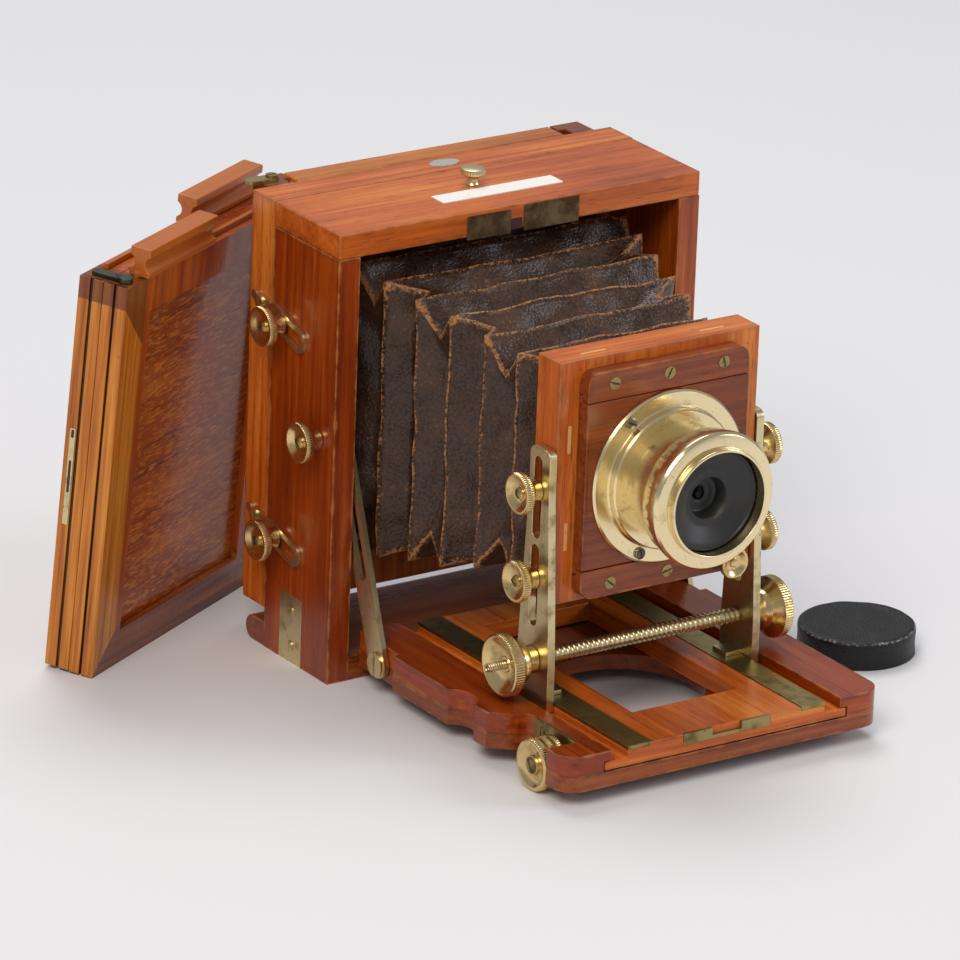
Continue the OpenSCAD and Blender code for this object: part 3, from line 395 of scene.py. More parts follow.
def slip(name, slot, pale, dark, scale, rough=0.4):
    """A thin pale plate with faint stains."""
    finish = Finish(name, slot)
    local = finish.place()
    stains = finish.clouds(local, scale, detail=4, rough=0.65)
    colour = finish.mix(stains.ease(0.5, 0.75) * 0.7, tint(pale), tint(dark))
    return finish.surface(Base_Color=colour, Roughness=stains * 0.2 + rough,
                          Normal=finish.bump(stains, 0.05 * MM, 0.3))


BLACK = paint("stop_black", "black_paint", "151516", 0.42)
CLEAR = pane("lens_glass_clear", "glass", "f2f6f4", 0.0)
GROUND = pane("ground_glass_frosted", "ground_glass", "e8ecea", 0.42)
BONE = slip("label_bone", "satinwood", "efece6", "e0dacd", 260)
ZINC = slip("zinc_plate", "dull_brass", "a5a6a2", "6b6c6a", 500, 0.35)
HOLLY = slip("inlay_holly", "satinwood", "dca763", "a9743a", 700)
STEEL = brass("screw_steel", "dull_brass", "8d8678", "4f4a3d", 0.6, 0.32)
IRON = brass("blued_steel", "dull_brass", "55554f", "2b2a27", 0.5, 0.38)
# A dark stock for plates laid in the screws' slots, the catch's recess and the holder's slot: painted shade in those
# hollows.
SHADE_AND_DARK_WOOD = slip("shade_and_dark_wood", "dark_mahogany", "3a1a10", "1d0c07", 400)
print("paint, glass, bone and small inlays")

# %% [markdown]
# ## Easing the boards
# A maker breaks every sharp edge with a few strokes of fine paper, and that narrow facet is what
# catches the light. A copy of each solid is merged into whole faces first, because a solid
# arrives as loose triangles. Then a Bevel modifier rounds each corner, with hardened normals so
# that the flat faces stay flat.

# %% Making and easing pieces


def finished(name, bm, finish, body=None, replaced=(), sharp=35):
    """Turns a bmesh into a piece: smooth but for its sharp edges, riding on its body."""
    mesh = bpy.data.meshes.new(name)
    bm.to_mesh(mesh)
    bm.free()
    for layer in [a.name for a in mesh.attributes if a.name == "custom_normal"]:
        mesh.attributes.remove(mesh.attributes[layer])
    mesh.materials.clear()
    mesh.materials.append(finish.material)
    mesh.shade_smooth()
    if sharp:
        mesh.set_sharp_from_angle(angle=math.radians(sharp))
    piece = bpy.data.objects.new(name, mesh)
    scene.collection.objects.link(piece)
    if body:
        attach(piece, body)
    if replaced:
        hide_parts(*replaced)
    return piece


def soften(piece, width, segments=2, angle=38):
    ease = piece.modifiers.new("ease", "BEVEL")
    ease.width, ease.segments = width, segments
    ease.limit_method, ease.angle_limit = "ANGLE", math.radians(angle)
    ease.harden_normals = True
    return piece


def eased(node, width, finish, segments=2):
    bm = bmesh.new()
    bm.from_mesh(frame["nodes"][node].data)
    bmesh.ops.remove_doubles(bm, verts=bm.verts, dist=0.002 * MM)
    bmesh.ops.dissolve_limit(bm, angle_limit=math.radians(1), verts=bm.verts, edges=bm.edges)
    piece = finished(node + "_eased", bm, finish, BODY[node], [node], sharp=None)
    return soften(piece, width, segments)


def board(node, grain, tones=RED_WOOD, width=0.5 * MM, **looks):
    low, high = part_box(node)
    finish = wood(node + "_wood", SLOT[node], grain, low, high, tones, **looks)
    return eased(node, width, finish)


# %% Boards of the box, the back and the baseboard
# The box is one mahogany: the top's brighter tones are painted light and the left side's darker tones painted shade,
# as the box looks lit from above.
board("left_side", Z, DARK_WOOD, 0.6 * MM, wear=0.7)
board("right_side", Z, RED_WOOD, 0.6 * MM)
board("top_board", X, BRIGHT_WOOD, 0.7 * MM, figure=0.5, polish=0.25)
board("floor_board", X, BROWN_WOOD, 0.4 * MM)
board("back_frame", Z, BRIGHT_WOOD, 0.6 * MM, wear=0.5, polish=0.3)
board("screen_guides", Z, BROWN_WOOD, 0.4 * MM)
board("screen_frame", X, GOLD_WOOD, 1.0 * MM, wear=0.4)
board("lower_board", Y, BROWN_WOOD, 0.5 * MM, wear=0.5)
board("left_rail", Y, DARK_WOOD, 0.5 * MM)
board("right_rail", Y, DARK_WOOD, 0.5 * MM)
board("focus_frame", Y, BRIGHT_WOOD, 0.4 * MM, wear=0.6, polish=0.25)
board("lens_frame", Z, BRIGHT_WOOD, 0.8 * MM, polish=0.3)
board("front_battens", X, BROWN_WOOD, 0.5 * MM)
board("lens_panel", X, BROWN_WOOD, 0.4 * MM, wear=0.3)

# %% [markdown]
# ## The plate holder's wood
# The holder leans and is turned, so its finish is measured in its own frame: x across it, y
# through it, z up it. Its edges are golden where the stiles' ends show, and each shutter's face
# is figured wood.

# %% Plate holder
holder = next(j for j in frame["joints"] if j["name"] == "near_shutter_draw")["axis"]
LEAN = math.acos(holder[2])
TURN = math.atan2(holder[0], -holder[1])
HOLDER_TURN = (LEAN, 0, TURN)
hinge_at = Vector(next(j for j in frame["joints"] if j["name"] == "holder_open")["pos_m"])
HOLDER_W, HALF_T, HOLDER_H, JOINT_GAP = 115 * MM, 9.5 * MM, 146 * MM, 0.3 * MM
holder_spin = Matrix.Rotation(TURN, 3, "Z") @ Matrix.Rotation(LEAN, 3, "X")
HOLDER_AT = hinge_at - holder_spin @ Vector((HOLDER_W, HALF_T + JOINT_GAP / 2, 0))
HOLDER_FRAME = Matrix.Translation(HOLDER_AT) @ holder_spin.to_4x4()
DEEP_WOOD = ("642305", "9f480d", "d27b22")


STILE, SPLICE = 13.6 * MM, HOLDER_H - 8 * MM


def golden_stile(finish, colour, sides, gaps, streaks, moved):
    """The near stile and the edges are golden, with a dark block spliced into their top."""
    golden = finish.ramp(streaks, [(0.25, tint(GOLD_WOOD[0])), (0.5, tint(GOLD_WOOD[1])),
                                   (0.75, tint(GOLD_WOOD[2]))])
    stile = sides[X].ease(STILE + 0.1 * MM, STILE - 0.1 * MM)
    colour = finish.mix(stile, colour, golden)
    splice = (sides[Z] + sides[X] * 1.2 - SPLICE).ease(-0.15 * MM, 0.15 * MM) * stile * 0.75
    return finish.mix(splice, colour, tint("5c230c"))


def mitred_rail(finish, colour, sides, gaps, streaks, moved):
    """The bottom rail runs across, and meets the stiles on a dark slanting seam."""
    fibres = finish.clouds(finish.stretch(moved, (14, 420, 420)), detail=4)
    across = finish.ramp(fibres, [(0.25, tint(BROWN_WOOD[0])), (0.5, tint(BROWN_WOOD[1])),
                                  (0.75, tint(BROWN_WOOD[2]))])
    colour = finish.mix((gaps[X] - sides[Z]).ease(-0.05 * MM, 0.05 * MM), colour, across)
    seam = abs(gaps[X] - sides[Z]).ease(0.3 * MM, 0.1 * MM) * sides[Z].ease(15 * MM, 14 * MM)
    return finish.mix(seam * 0.8, colour, tint("220b04"))


def groove_shade(finish, colour, sides, gaps, streaks, moved):
    """Painted shade darkens the grooves along the edges."""
    sunk = gaps[X].ease(0.25 * MM, 0.6 * MM) * gaps[X].ease(2 * MM, 1.4 * MM) * gaps[Y].ease(0.9 * MM, 1.2 * MM)
    return finish.mix(sunk * 0.9, colour, tint("1a0903"))


def flecks(finish, colour, sides, gaps, streaks, moved):
    """Short light strokes lie across the shutter's panel, but not on its end strip or its grip."""
    strokes = finish.clouds(finish.stretch(moved, (260, 900, 1500)), detail=2).ease(0.5, 0.62)
    panel = sides[X].ease(21.9 * MM, 22.1 * MM)
    grip = sides[Z].ease(HOLDER_H - 0.1 * MM, HOLDER_H + 0.1 * MM)
    colour = finish.mix((1 - panel) * 0.7, colour, tint("8f3d0e"))
    colour = finish.mix(strokes * panel * (1 - grip) * 0.55, colour, tint("e8913a"))
    return finish.mix(grip * 0.6, colour, tint("c4702a"))


def holder_board(node, thick_from, thick_to, grain, width, low_x=0.0, **looks):
    low, high = (low_x, thick_from, -5 * MM), (HOLDER_W, thick_to, HOLDER_H + 20 * MM)
    finish = wood(node + "_wood", "mahogany", grain, low, high, origin=HOLDER_AT, turn=HOLDER_TURN,
                  **looks)
    return eased(node, width, finish)


REAR = 2 * HALF_T + JOINT_GAP
HALF_DETAILS = (golden_stile, mitred_rail, groove_shade)
holder_board("near_half", 0, HALF_T, Z, 0.5 * MM, tones=RED_WOOD, wear=0.35, details=HALF_DETAILS)
holder_board("far_half", HALF_T + JOINT_GAP, REAR, Z, 0.5 * MM, tones=RED_WOOD, wear=0.35,
             details=HALF_DETAILS)
holder_board("near_shutter", -2 * MM, 7 * MM, X, 0.4 * MM, tones=DEEP_WOOD, wear=0.0,
             details=[flecks])
holder_board("far_shutter", REAR - 7 * MM, REAR + 2 * MM, X, 0.4 * MM, tones=DEEP_WOOD, wear=0.0,
             details=[flecks])
print("holder leans", round(math.degrees(LEAN), 1), "degrees and is turned", round(math.degrees(TURN), 1))

# %% [markdown]
# ## Brass fittings that keep their shape
# Strips, stays and plates are filed from sheet, so easing their edges is enough.

# %% Plates, stays and the lens mount
for node in ("stay_left", "stay_right", "left_upright", "right_upright", "upper_slot_plates",
             "lower_slot_plates", "corner_plates", "racks"):
    eased(node, 0.25 * MM, AGED)
eased("holder_latch", 0.15 * MM, IRON)
for node in ("focus_strips", "pinion_bracket", "box_hinges", "base_hinges", "screen_latch", "frame_catch",
             "batten_screws", "pinion"):
    eased(node, 0.12 * MM, DULL)
for node in ("lens_flange", "lens_barrel", "hood_ring"):
    eased(node, 0.25 * MM, LATHED)
for node, finish in {"lens_glass": CLEAR, "ground_glass": GROUND}.items():
    frame["nodes"][node].data.materials.clear()
    frame["nodes"][node].data.materials.append(finish.material)
print("fittings eased")

# %% [markdown]
# ## Turned and milled nuts
# A nut starts on the lathe, so a spin of its outline makes it. The knurl that gives the fingers
# a grip is pressed in afterwards: every second line of the rim is drawn in a little.

# %% Spinning a nut
FACING = {
    "-x": Matrix.Rotation(-math.pi / 2, 4, "Y"), "x": Matrix.Rotation(math.pi / 2, 4, "Y"),
    "-y": Matrix.Rotation(math.pi / 2, 4, "X"), "z": Matrix.Identity(4),
}


def spun(outline, steps):
    """A closed turned shape round Z, from an outline of (radius, height) in millimetres."""
    bm = bmesh.new()
    points = [bm.verts.new((r * MM, 0, h * MM)) for r, h in outline]
    edges = [bm.edges.new(pair) for pair in zip(points, points[1:])]
    bmesh.ops.spin(bm, geom=points + edges, cent=(0, 0, 0), axis=(0, 0, 1), dvec=(0, 0, 0),
                   angle=2 * math.pi, steps=steps, use_merge=True, use_duplicate=False)
    bmesh.ops.remove_doubles(bm, verts=bm.verts, dist=0.001 * MM)
    bmesh.ops.recalc_face_normals(bm, faces=bm.faces)
    return bm


def mill(bm, radius, low, high, steps, depth=0.28):
    """Draws in every second line of points on a rim of that radius, in millimetres."""
    for point in bm.verts:
        reach = point.co.xy.length
        step = round(math.atan2(point.co.y, point.co.x) / (2 * math.pi) * steps)
        if reach > (radius - 0.05) * MM and low <= point.co.z / MM <= high and step % 2:
            point.co.xy *= (reach - depth * MM) / reach


def turned(node, outline, facing, seat, rims=(), steps=120, finish=BRIGHT, name=None):
    bm = spun(outline, steps)
    for radius, low, high in rims:
        mill(bm, radius, low, high, steps)
    bmesh.ops.transform(bm, matrix=Matrix.Translation(seat) @ FACING[facing], verts=bm.verts)
    return finished(name or node + "_milled", bm, finish, BODY[node], [node])


def joint(name):
    return next(j for j in frame["joints"] if j["name"] == name)


def nut_outline(r, length, hub, stem, reach):
    """A milled nut on its screw: hub, waist, rim, dished face and a small boss."""
    rim = length * 0.34
    return [(0, -reach), (stem, -reach), (stem, 0), (hub, 0), (hub + 0.2, 0.3), (hub, length * 0.3),
            (hub + 0.4, length * 0.42), (r * 0.82, length - rim - 0.7), (r - 0.3, length - rim - 0.1),
            (r, length - rim + 0.2), (r, length - 0.5), (r - 0.35, length - 0.1), (r * 0.86, length),
            (r * 0.8, length - 0.1), (r * 0.62, length * 0.84), (r * 0.36, length * 0.77),
            (r * 0.3, length * 0.78), (r * 0.27, length * 0.9), (r * 0.2, length * 0.93), (0, length * 0.93)]


# %% The small nuts on both sides
SIDE_NUTS = ("rise_knob_upper_", "rise_knob_lower_", "back_knob_upper_", "back_knob_lower_", "stay_knob_")
NUT_R, NUT_LEN, STEM_R, HUB = 7.3, 8.5, 2, 3.7
NUT_RIM = [(NUT_R, NUT_LEN * 0.66, NUT_LEN)]
for side, sign in (("left", -1), ("right", 1)):
    facing = "-x" if sign < 0 else "x"
    for group in SIDE_NUTS:
        node = group + side
        low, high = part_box(node)
        outer = low.x if sign < 0 else high.x
        reach = (high.x - low.x) / MM - NUT_LEN
        seat = (outer - sign * NUT_LEN * MM, (low.y + high.y) / 2, (low.z + high.z) / 2)
        outline = nut_outline(NUT_R, NUT_LEN, HUB, STEM_R, reach)
        turned(node, outline, facing, seat, NUT_RIM)
low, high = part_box("panel_knob")
panel_reach = (high.y - low.y) / MM - 6
turned("panel_knob", nut_outline(5.6, 6, 2.4, 1.3, panel_reach), "-y",
       ((low.x + high.x) / 2, low.y + 6 * MM, (low.z + high.z) / 2), [(5.6, 3.9, 6)], steps=96)
low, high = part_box("top_knob")
TOP_OUTLINE = [(0, 0), (2, 0), (2, 9), (2.5, 9.1), (2.2, 9.5), (1.9, 10.4), (2.0, 11.4), (3.4, 12.3),
               (4.2, 12.9), (4.4, 13.4), (4.4, 14.3), (4.1, 14.8), (3.4, 15.0), (2, 15.15), (0, 15.2)]
turned("top_knob", TOP_OUTLINE, "z", ((low.x + high.x) / 2, (low.y + high.y) / 2, low.z),
       [(4.4, 13.2, 14.5)], steps=64, finish=AGED)
print("nuts turned and milled")

# %% Screws' ends, with their slots


def screw_end(name, body, seat, facing, r, angle, finish=DULL):
    """A low dome with a dark plate for its slot, painted shade, on a seat that faces one of the named ways."""
    place = Matrix.Translation(seat) @ FACING[facing] @ Matrix.Rotation(math.radians(angle), 4, "Z")
    dome = spun([(0, -0.3), (r, -0.3), (r, 0.1), (r * 0.85, 0.35), (r * 0.5, 0.55), (0, 0.62)], 40)
    bmesh.ops.transform(dome, matrix=place, verts=dome.verts)
    finished(name, dome, finish, body)
    # The slot is a dark plate laid on the dome: painted shade, not a cut.
    cut = bmesh.new()
    bmesh.ops.create_cube(cut, size=1)
    bmesh.ops.scale(cut, vec=(r * 1.7 * MM, r * 0.3 * MM, 0.3 * MM), verts=cut.verts)
    bmesh.ops.translate(cut, vec=(0, 0, 0.5 * MM), verts=cut.verts)
    bmesh.ops.bevel(cut, geom=cut.edges[:], offset=0.04 * MM, segments=2, profile=0.5, affect="EDGES", material=-1)
    bmesh.ops.transform(cut, matrix=place, verts=cut.verts)
    finished(name + "_slot", cut, SHADE_AND_DARK_WOOD, body)


for side, sign in (("left", -1), ("right", 1)):
    for turn_number, group in enumerate(SIDE_NUTS):
        low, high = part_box(group + side)
        seat = ((low.x if sign < 0 else high.x) - sign * NUT_LEN * 0.09 * MM, (low.y + high.y) / 2,
                (low.z + high.z) / 2)
        screw_end(group + side + "_screw", group + side, seat, "-x" if sign < 0 else "x", 1.75,
                  25 + 50 * turn_number)
flange_low, flange_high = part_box("lens_flange")
FLANGE_T, SCREW_RING = 2.2 * MM, (flange_high.x - flange_low.x) / 2 - 3 * MM
for angle in (7, 127, 247):
    at = (math.cos(math.radians(angle)) * SCREW_RING, flange_high.y - FLANGE_T - 0.55 * MM,
          (flange_low.z + flange_high.z) / 2 + math.sin(math.radians(angle)) * SCREW_RING)
    screw_end(f"flange_screw_{angle}", BODY["lens_flange"], at, "-y", 2.1, angle + 30, STEEL)
print("screws' ends:", 2 * len(SIDE_NUTS) + 3)

# %% The two clamp nuts and the focusing knob
CLAMP_R, CLAMP_LEN, ROD_R = 11, 14, 1.65
CLAMP_OUTLINE = [
    (ROD_R, 0), (4.6, 0), (5, 0.4), (5, 3.2), (5.3, 3.6), (6.7, 4.4), (7.1, 5), (7.3, 7), (9.2, 8.6),
    (10.3, 9.6), (10.9, 10), (11, 10.3), (11, 13.1), (10.7, 13.5), (10.1, 13.7), (9.5, 13.5),
    (8.6, 12.6), (6.4, 11.4), (3.6, 10.7), (2.9, 10.8), (2.6, 11.2), (ROD_R, 11.2), (ROD_R, 0)]
for side, sign in (("left", -1), ("right", 1)):
    node = "clamp_knob_" + side
    low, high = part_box(node)
    inner = high.x if sign < 0 else low.x
    turned(node, CLAMP_OUTLINE, "-x" if sign < 0 else "x",
           (inner, (low.y + high.y) / 2, (low.z + high.z) / 2), [(CLAMP_R, 9.9, 13.3)], steps=160)
FOCUS_R = 9.2
FOCUS_OUTLINE = [(0, 0), (3.6, 0), (3.6, 1.5), (8.4, 1.7), (8.9, 1.9), (9.2, 2.2), (9.2, 3.6), (8.8, 3.9),
                 (7.7, 4.2), (7.7, 4.8), (8.8, 5.1), (9.2, 5.4), (9.2, 6.8), (8.8, 7.1), (7.7, 7.4),
                 (7.7, 8), (8.8, 8.3), (9.2, 8.6), (9.2, 10.4), (8.9, 10.8), (8.4, 11.1), (7.6, 11.1),
                 (7.2, 10.8), (5.8, 10.1), (4.2, 9.8), (3.5, 9.9), (3.4, 10.7), (3, 10.8), (0, 10.8)]
low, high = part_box("focus_knob")
turned("focus_knob", FOCUS_OUTLINE, "-x", (high.x, (low.y + high.y) / 2, (low.z + high.z) / 2),
       [(FOCUS_R, 2, 3.8), (FOCUS_R, 5.2, 7), (FOCUS_R, 8.4, 10.6)], steps=140)
screw_end("focus_knob_screw", BODY["focus_knob"],
          (low.x + 0.2 * MM, (low.y + high.y) / 2, (low.z + high.z) / 2), "-x", 2.9, 35)
print("clamp nuts and focusing knob turned")

# %% [markdown]
# ## The threaded cross tube
# The tube between the uprights has a coarse round thread. A spin that also moves along its axis
# winds one thread's outline into a screw, so each turn meets the last one.

# %% Threads


def threaded(pitch, root, crest, start, end, steps=48):
    """A threaded rod along X from start to end, all in millimetres."""
    bm = bmesh.new()
    shape = [(root, 0), (root + (crest - root) * 0.75, 0.2), (crest, 0.38), (crest, 0.62),
             (root + (crest - root) * 0.75, 0.8), (root, 1)]
    points = [bm.verts.new((r * MM, 0, h * pitch * MM)) for r, h in shape]
    edges = [bm.edges.new(pair) for pair in zip(points, points[1:])]
    bmesh.ops.spin(bm, geom=points + edges, cent=(0, 0, 0), axis=(0, 0, 1), angle=2 * math.pi,
                   dvec=(0, 0, pitch * MM / steps), steps=steps, use_merge=False, use_duplicate=False)
    turns = 1
    while turns < (end - start) / pitch + 2:
        copy = bmesh.ops.duplicate(bm, geom=bm.verts[:] + bm.edges[:] + bm.faces[:])["geom"]
        bmesh.ops.translate(bm, vec=(0, 0, turns * pitch * MM),
                            verts=[v for v in copy if isinstance(v, bmesh.types.BMVert)])
        turns *= 2
    bmesh.ops.remove_doubles(bm, verts=bm.verts, dist=0.004 * MM)
    bmesh.ops.translate(bm, vec=(0, 0, (start - 1.5 * pitch) * MM), verts=bm.verts)
    for height, side in ((start, 1), (end, -1)):
        cut = bmesh.ops.bisect_plane(bm, geom=bm.verts[:] + bm.edges[:] + bm.faces[:],
                                     plane_co=(0, 0, height * MM), plane_no=(0, 0, side), clear_inner=True)
        rim = [e for e in cut["geom_cut"] if isinstance(e, bmesh.types.BMEdge)]
        bmesh.ops.holes_fill(bm, edges=rim, sides=0)
    bmesh.ops.recalc_face_normals(bm, faces=bm.faces)
    bmesh.ops.rotate(bm, cent=(0, 0, 0), matrix=Matrix.Rotation(math.pi / 2, 3, "Y"), verts=bm.verts)
    return bm


rod_low, rod_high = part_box("cross_rod")
rod_centre = (0, (rod_low.y + rod_high.y) / 2, (rod_low.z + rod_high.z) / 2)
tube = threaded(2.05, 2.15, 2.7, -41.2, 41.2)
bmesh.ops.translate(tube, vec=rod_centre, verts=tube.verts)
finished("cross_tube", tube, AGED, "standard", ["cross_rod"], sharp=None)
rod = threaded(0.9, 1.25, 1.58, rod_low.x / MM, rod_high.x / MM, steps=32)
bmesh.ops.translate(rod, vec=rod_centre, verts=rod.verts)
finished("cross_rod_thread", rod, AGED, "standard", sharp=None)
print("cross tube wound")

# %% [markdown]
# ## The folded bellows
# The hide is one tube, folded by turns: at one fold the corners are drawn down, at the next they
# are drawn in. A ring of points is extruded from the lens frame to the back, and every ring is
# drawn in or let out as the fold asks. The tube is cut into five lengths, because it crosses five
# joints, and each length bends between the two bodies that its joint joins.

# %% The rings of the bellows
FRONT_Y, REAR_Y = -71.7, 41.5
FOLDS = 7
PITCH = (REAR_Y - FRONT_Y) / (FOLDS + 0.5)
FRONT_HALF_W, GROW_W, FRONT_HALF_H, GROW_H = 39.2, 3.7, 40, 2.75
FRONT_MID_Z, REAR_MID_Z = 95, 91.75
CORNER_DEPTH, SPAN_DEPTH, SHALLOW = 11.5, 7.5, 2.0


def fold_size(y):
    """Half width, half height and centre height of the bellows' outer line at y."""
    n = max(0, (y - FRONT_Y) / PITCH - 1)
    middle = FRONT_MID_Z + (REAR_MID_Z - FRONT_MID_Z) * (y - FRONT_Y) / (REAR_Y - FRONT_Y)
    return FRONT_HALF_W + GROW_W * min(n, FOLDS - 2.2), FRONT_HALF_H + GROW_H * min(n, FOLDS - 0.5), middle


def rings_between(first, last):
    """(y, depth share, kind, rub) of each ring; fold n's ridge lies at n, its valley at n + 0.5."""
    rings = []
    for step in range(round((last - first) * 12) + 1):
        at = first + step / 12
        share = abs((at + 0.5) % 1 - 0.5) * 2
        kind = math.floor(at) % 2
        rings.append((FRONT_Y + PITCH * at, share, kind, max(0, 0.8 - share * 3.6)))
    return rings


def fold_point(corner_x, corner_z, ring):
    """Where a point of the square ring (from -1 to 1 both ways) goes on a ring of the bellows."""
    y, share, kind, _ = ring
    half_w, half_h, middle = fold_size(y)
    depth = share ** 0.9
    top_bottom = abs(corner_z) > 0.999
    span = 1 - abs(corner_x if top_bottom else corner_z)
    mid = min(1, span * 3)
    down = (CORNER_DEPTH if kind else SHALLOW) * (1 - mid) + SPAN_DEPTH * mid
    inward = (SHALLOW if kind else CORNER_DEPTH) * (1 - mid) + SPAN_DEPTH * mid
    if top_bottom:
        inward = SHALLOW if kind else CORNER_DEPTH
    else:
        down = CORNER_DEPTH if kind else SHALLOW
    x = corner_x * (half_w - inward * depth)
    z = middle + corner_z * (half_h - down * depth)
    here = Vector((x, y, z))
    crumple = noise.noise_vector(here * 0.055) * 1.3 + noise.noise_vector(here * 0.16) * 0.5
    hold = min(1, (REAR_Y - y) / 12, (y - FRONT_Y) / 4)
    return Vector((x + crumple.x * hold, y + crumple.y * hold * 0.6, z + crumple.z * hold)) * MM


def bellows_length(name, first, last, front_body, rear_body, stands_for=()):
    """One length of the tube: a square ring, extruded ring by ring and drawn to its folds."""
    bm = bmesh.new()
    rub = bm.verts.layers.float.new("rub")
    bmesh.ops.create_circle(bm, segments=4, radius=math.sqrt(2))
    bmesh.ops.rotate(bm, cent=(0, 0, 0), matrix=Matrix.Rotation(math.pi / 4, 3, "Z"), verts=bm.verts)
    bmesh.ops.subdivide_edges(bm, edges=bm.edges, cuts=SIDE_CUTS)
    ring = {point: (point.co.x, point.co.y) for point in bm.verts}
    edges = bm.edges[:]
    for count, fold in enumerate(rings_between(first, last)):
        if count:
            made = bmesh.ops.extrude_edge_only(bm, edges=edges)["geom"]
            edges = [e for e in made if isinstance(e, bmesh.types.BMEdge)
                     and not any(point in ring for point in e.verts)]
            fresh = {point for e in edges for point in e.verts}
            ring = {point: next(ring[e.other_vert(point)] for e in point.link_edges
                                if e.other_vert(point) in ring) for point in fresh}
        for point, (across, tall) in ring.items():
            point.co = fold_point(across, tall, fold)
            from_corner = 1 - min(abs(across), abs(tall))
            point[rub] = max(fold[3], 0.95 - from_corner * 9)
    bmesh.ops.recalc_face_normals(bm, faces=bm.faces)
    mesh = bpy.data.meshes.new(name)
    bm.to_mesh(mesh)
    bm.free()
    mesh.materials.append(BELLOWS.material)
    mesh.shade_smooth()
    piece = bpy.data.objects.new(name, mesh)
    scene.collection.objects.link(piece)
    hide = piece.modifiers.new("hide", "SOLIDIFY")
    hide.thickness, hide.offset = 0.8 * MM, -1
    settle(piece)
    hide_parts("bellows")
    ring_y = [FRONT_Y + PITCH * at for at in (first, last)]
    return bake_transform(piece, front_body, rear_body, start=(0, ring_y[0] * MM, 0.09),
                    end=(0, ring_y[1] * MM, 0.09))


def settle(piece):
    """Keeps what a piece's modifiers make as its own mesh."""
    bpy.context.view_layer.update()
    made = bpy.data.meshes.new_from_object(piece.evaluated_get(bpy.context.evaluated_depsgraph_get()))
    piece.modifiers.clear()
    piece.data = made
    return piece


SIDE_CUTS = 27
LENGTHS = [
    ("bellows_front", 0, 1, "lens_front", "standard"), ("bellows_second", 1, 3, "standard", "focus_frame"),
    ("bellows_middle", 3, 4.5, "focus_frame", "baseboard"), ("bellows_fourth", 4.5, 7, "baseboard", "box"),
    ("bellows_rear", 7, FOLDS + 0.5, "box", "swing_back"),
]
for length in LENGTHS:
    piece = bellows_length(*length)
    print(piece.name, len(piece.data.polygons), "faces")

# %% [markdown]
# ## The lens's black stop
# The front of the lens is a dished plate with a small hole, turned in steps so that light dies
# in it. It is spun from its own outline, with more rings than the solid has.

# %% Stop plate
stop_low, stop_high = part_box("lens_stop")
STOP_DEPTH = (stop_high.y - stop_low.y) / MM
STOP_OUTLINE = [(2.4, 0), (19, 0), (19, 5), (18, 5), (18, 9.3), (17.7, 9.5), (17.2, 9.45), (16.9, 9.1),
                (15.2, 8.75), (15, 8.6), (12.9, 8.1), (12.7, 7.95), (10.6, 7.4), (10.4, 7.25), (8.6, 6.8),
                (8.3, 6.9), (7.5, 6.9), (7.2, 6.5), (6.9, 5), (6.5, 4.2), (6.3, 2.2), (5.9, 1.9),
                (4.4, 1.8), (3.6, 1.9), (2.9, 1.7), (2.4, 1.3), (2.4, 0)]
turned("lens_stop", STOP_OUTLINE, "-y", (0, stop_high.y, (stop_low.z + stop_high.z) / 2), steps=144,
       finish=BLACK, name="lens_stop_turned")
print("stop plate", round(STOP_DEPTH, 1), "mm deep")

# %% [markdown]
# ## The leather cap
# A disc and a strip of hide are glued over card, so the cap has soft shoulders and a top that is
# not quite flat. It is spun, then pressed about a little by noise.

# %% Cap
CAP_R, CAP_H, CAP_WALL = (CAP_HIGH.x - CAP_LOW.x) / 2 / MM, CAP_HIGH.z / MM, 1.4
bm = spun([(CAP_R - CAP_WALL, 0.1), (CAP_R - 0.7, 0), (CAP_R - 0.1, 0.3), (CAP_R - 0.15, 1.4), (CAP_R - 0.25, 4),
           (CAP_R - 0.2, 7), (CAP_R - 0.1, 8.8), (CAP_R - 0.35, 9.7), (CAP_R - 1, 10.2), (CAP_R - 2.2, 10.35),
           (CAP_R - 3.6, 10.1), (CAP_R - 6, 10), (14, 10), (10, 10.05), (6, 10.1), (3, 10.1), (0, 10.1),
           (0, 8.6), (CAP_R - CAP_WALL - 0.6, 8.6), (CAP_R - CAP_WALL, 8), (CAP_R - CAP_WALL, 0.1)], 128)
for point in bm.verts:
    if point.co.z > 9 * MM:
        point.co.z += noise.noise(point.co * 160) * 0.3 * MM
    elif point.co.xy.length > (CAP_R - 1) * MM and point.co.z > 2 * MM:
        point.co.xy *= 1 - abs(noise.noise(point.co * 110)) * 0.012
bmesh.ops.translate(bm, vec=(CAP_MID.x, CAP_MID.y, 0), verts=bm.verts)
finished("lens_cap_hide", bm, CAP, "lens_cap", ["lens_cap"], sharp=60)
print("cap", round(2 * CAP_R, 1), "mm across")

# %% [markdown]
# ## Small things let into the wood
# A bone label, a zinc oval, the catch's plates under the top's front edge and slips of holly that
# pin the mitres. Each is a thin plate with eased edges.

# %% Plates


def plate(name, finish, body, centre, size, corner=0.3, ease=0.1, place=None):
    """A thin plate with rounded corners; size is width, length and thickness, in millimetres."""
    bm = bmesh.new()
    bmesh.ops.create_cube(bm, size=1)
    bmesh.ops.scale(bm, vec=[side * MM for side in size], verts=bm.verts)
    thin = size.index(min(size))
    uprights = [e for e in bm.edges if abs((e.verts[0].co - e.verts[1].co).normalized()[thin]) > 0.9]
    bmesh.ops.bevel(bm, geom=uprights, offset=corner * MM, segments=4, profile=0.5, affect="EDGES", material=-1)
    bmesh.ops.translate(bm, vec=[c * MM for c in centre], verts=bm.verts)
    if place:
        bmesh.ops.transform(bm, matrix=place, verts=bm.verts)
    return soften(finished(name, bm, finish, body, sharp=None), ease * MM, 2)


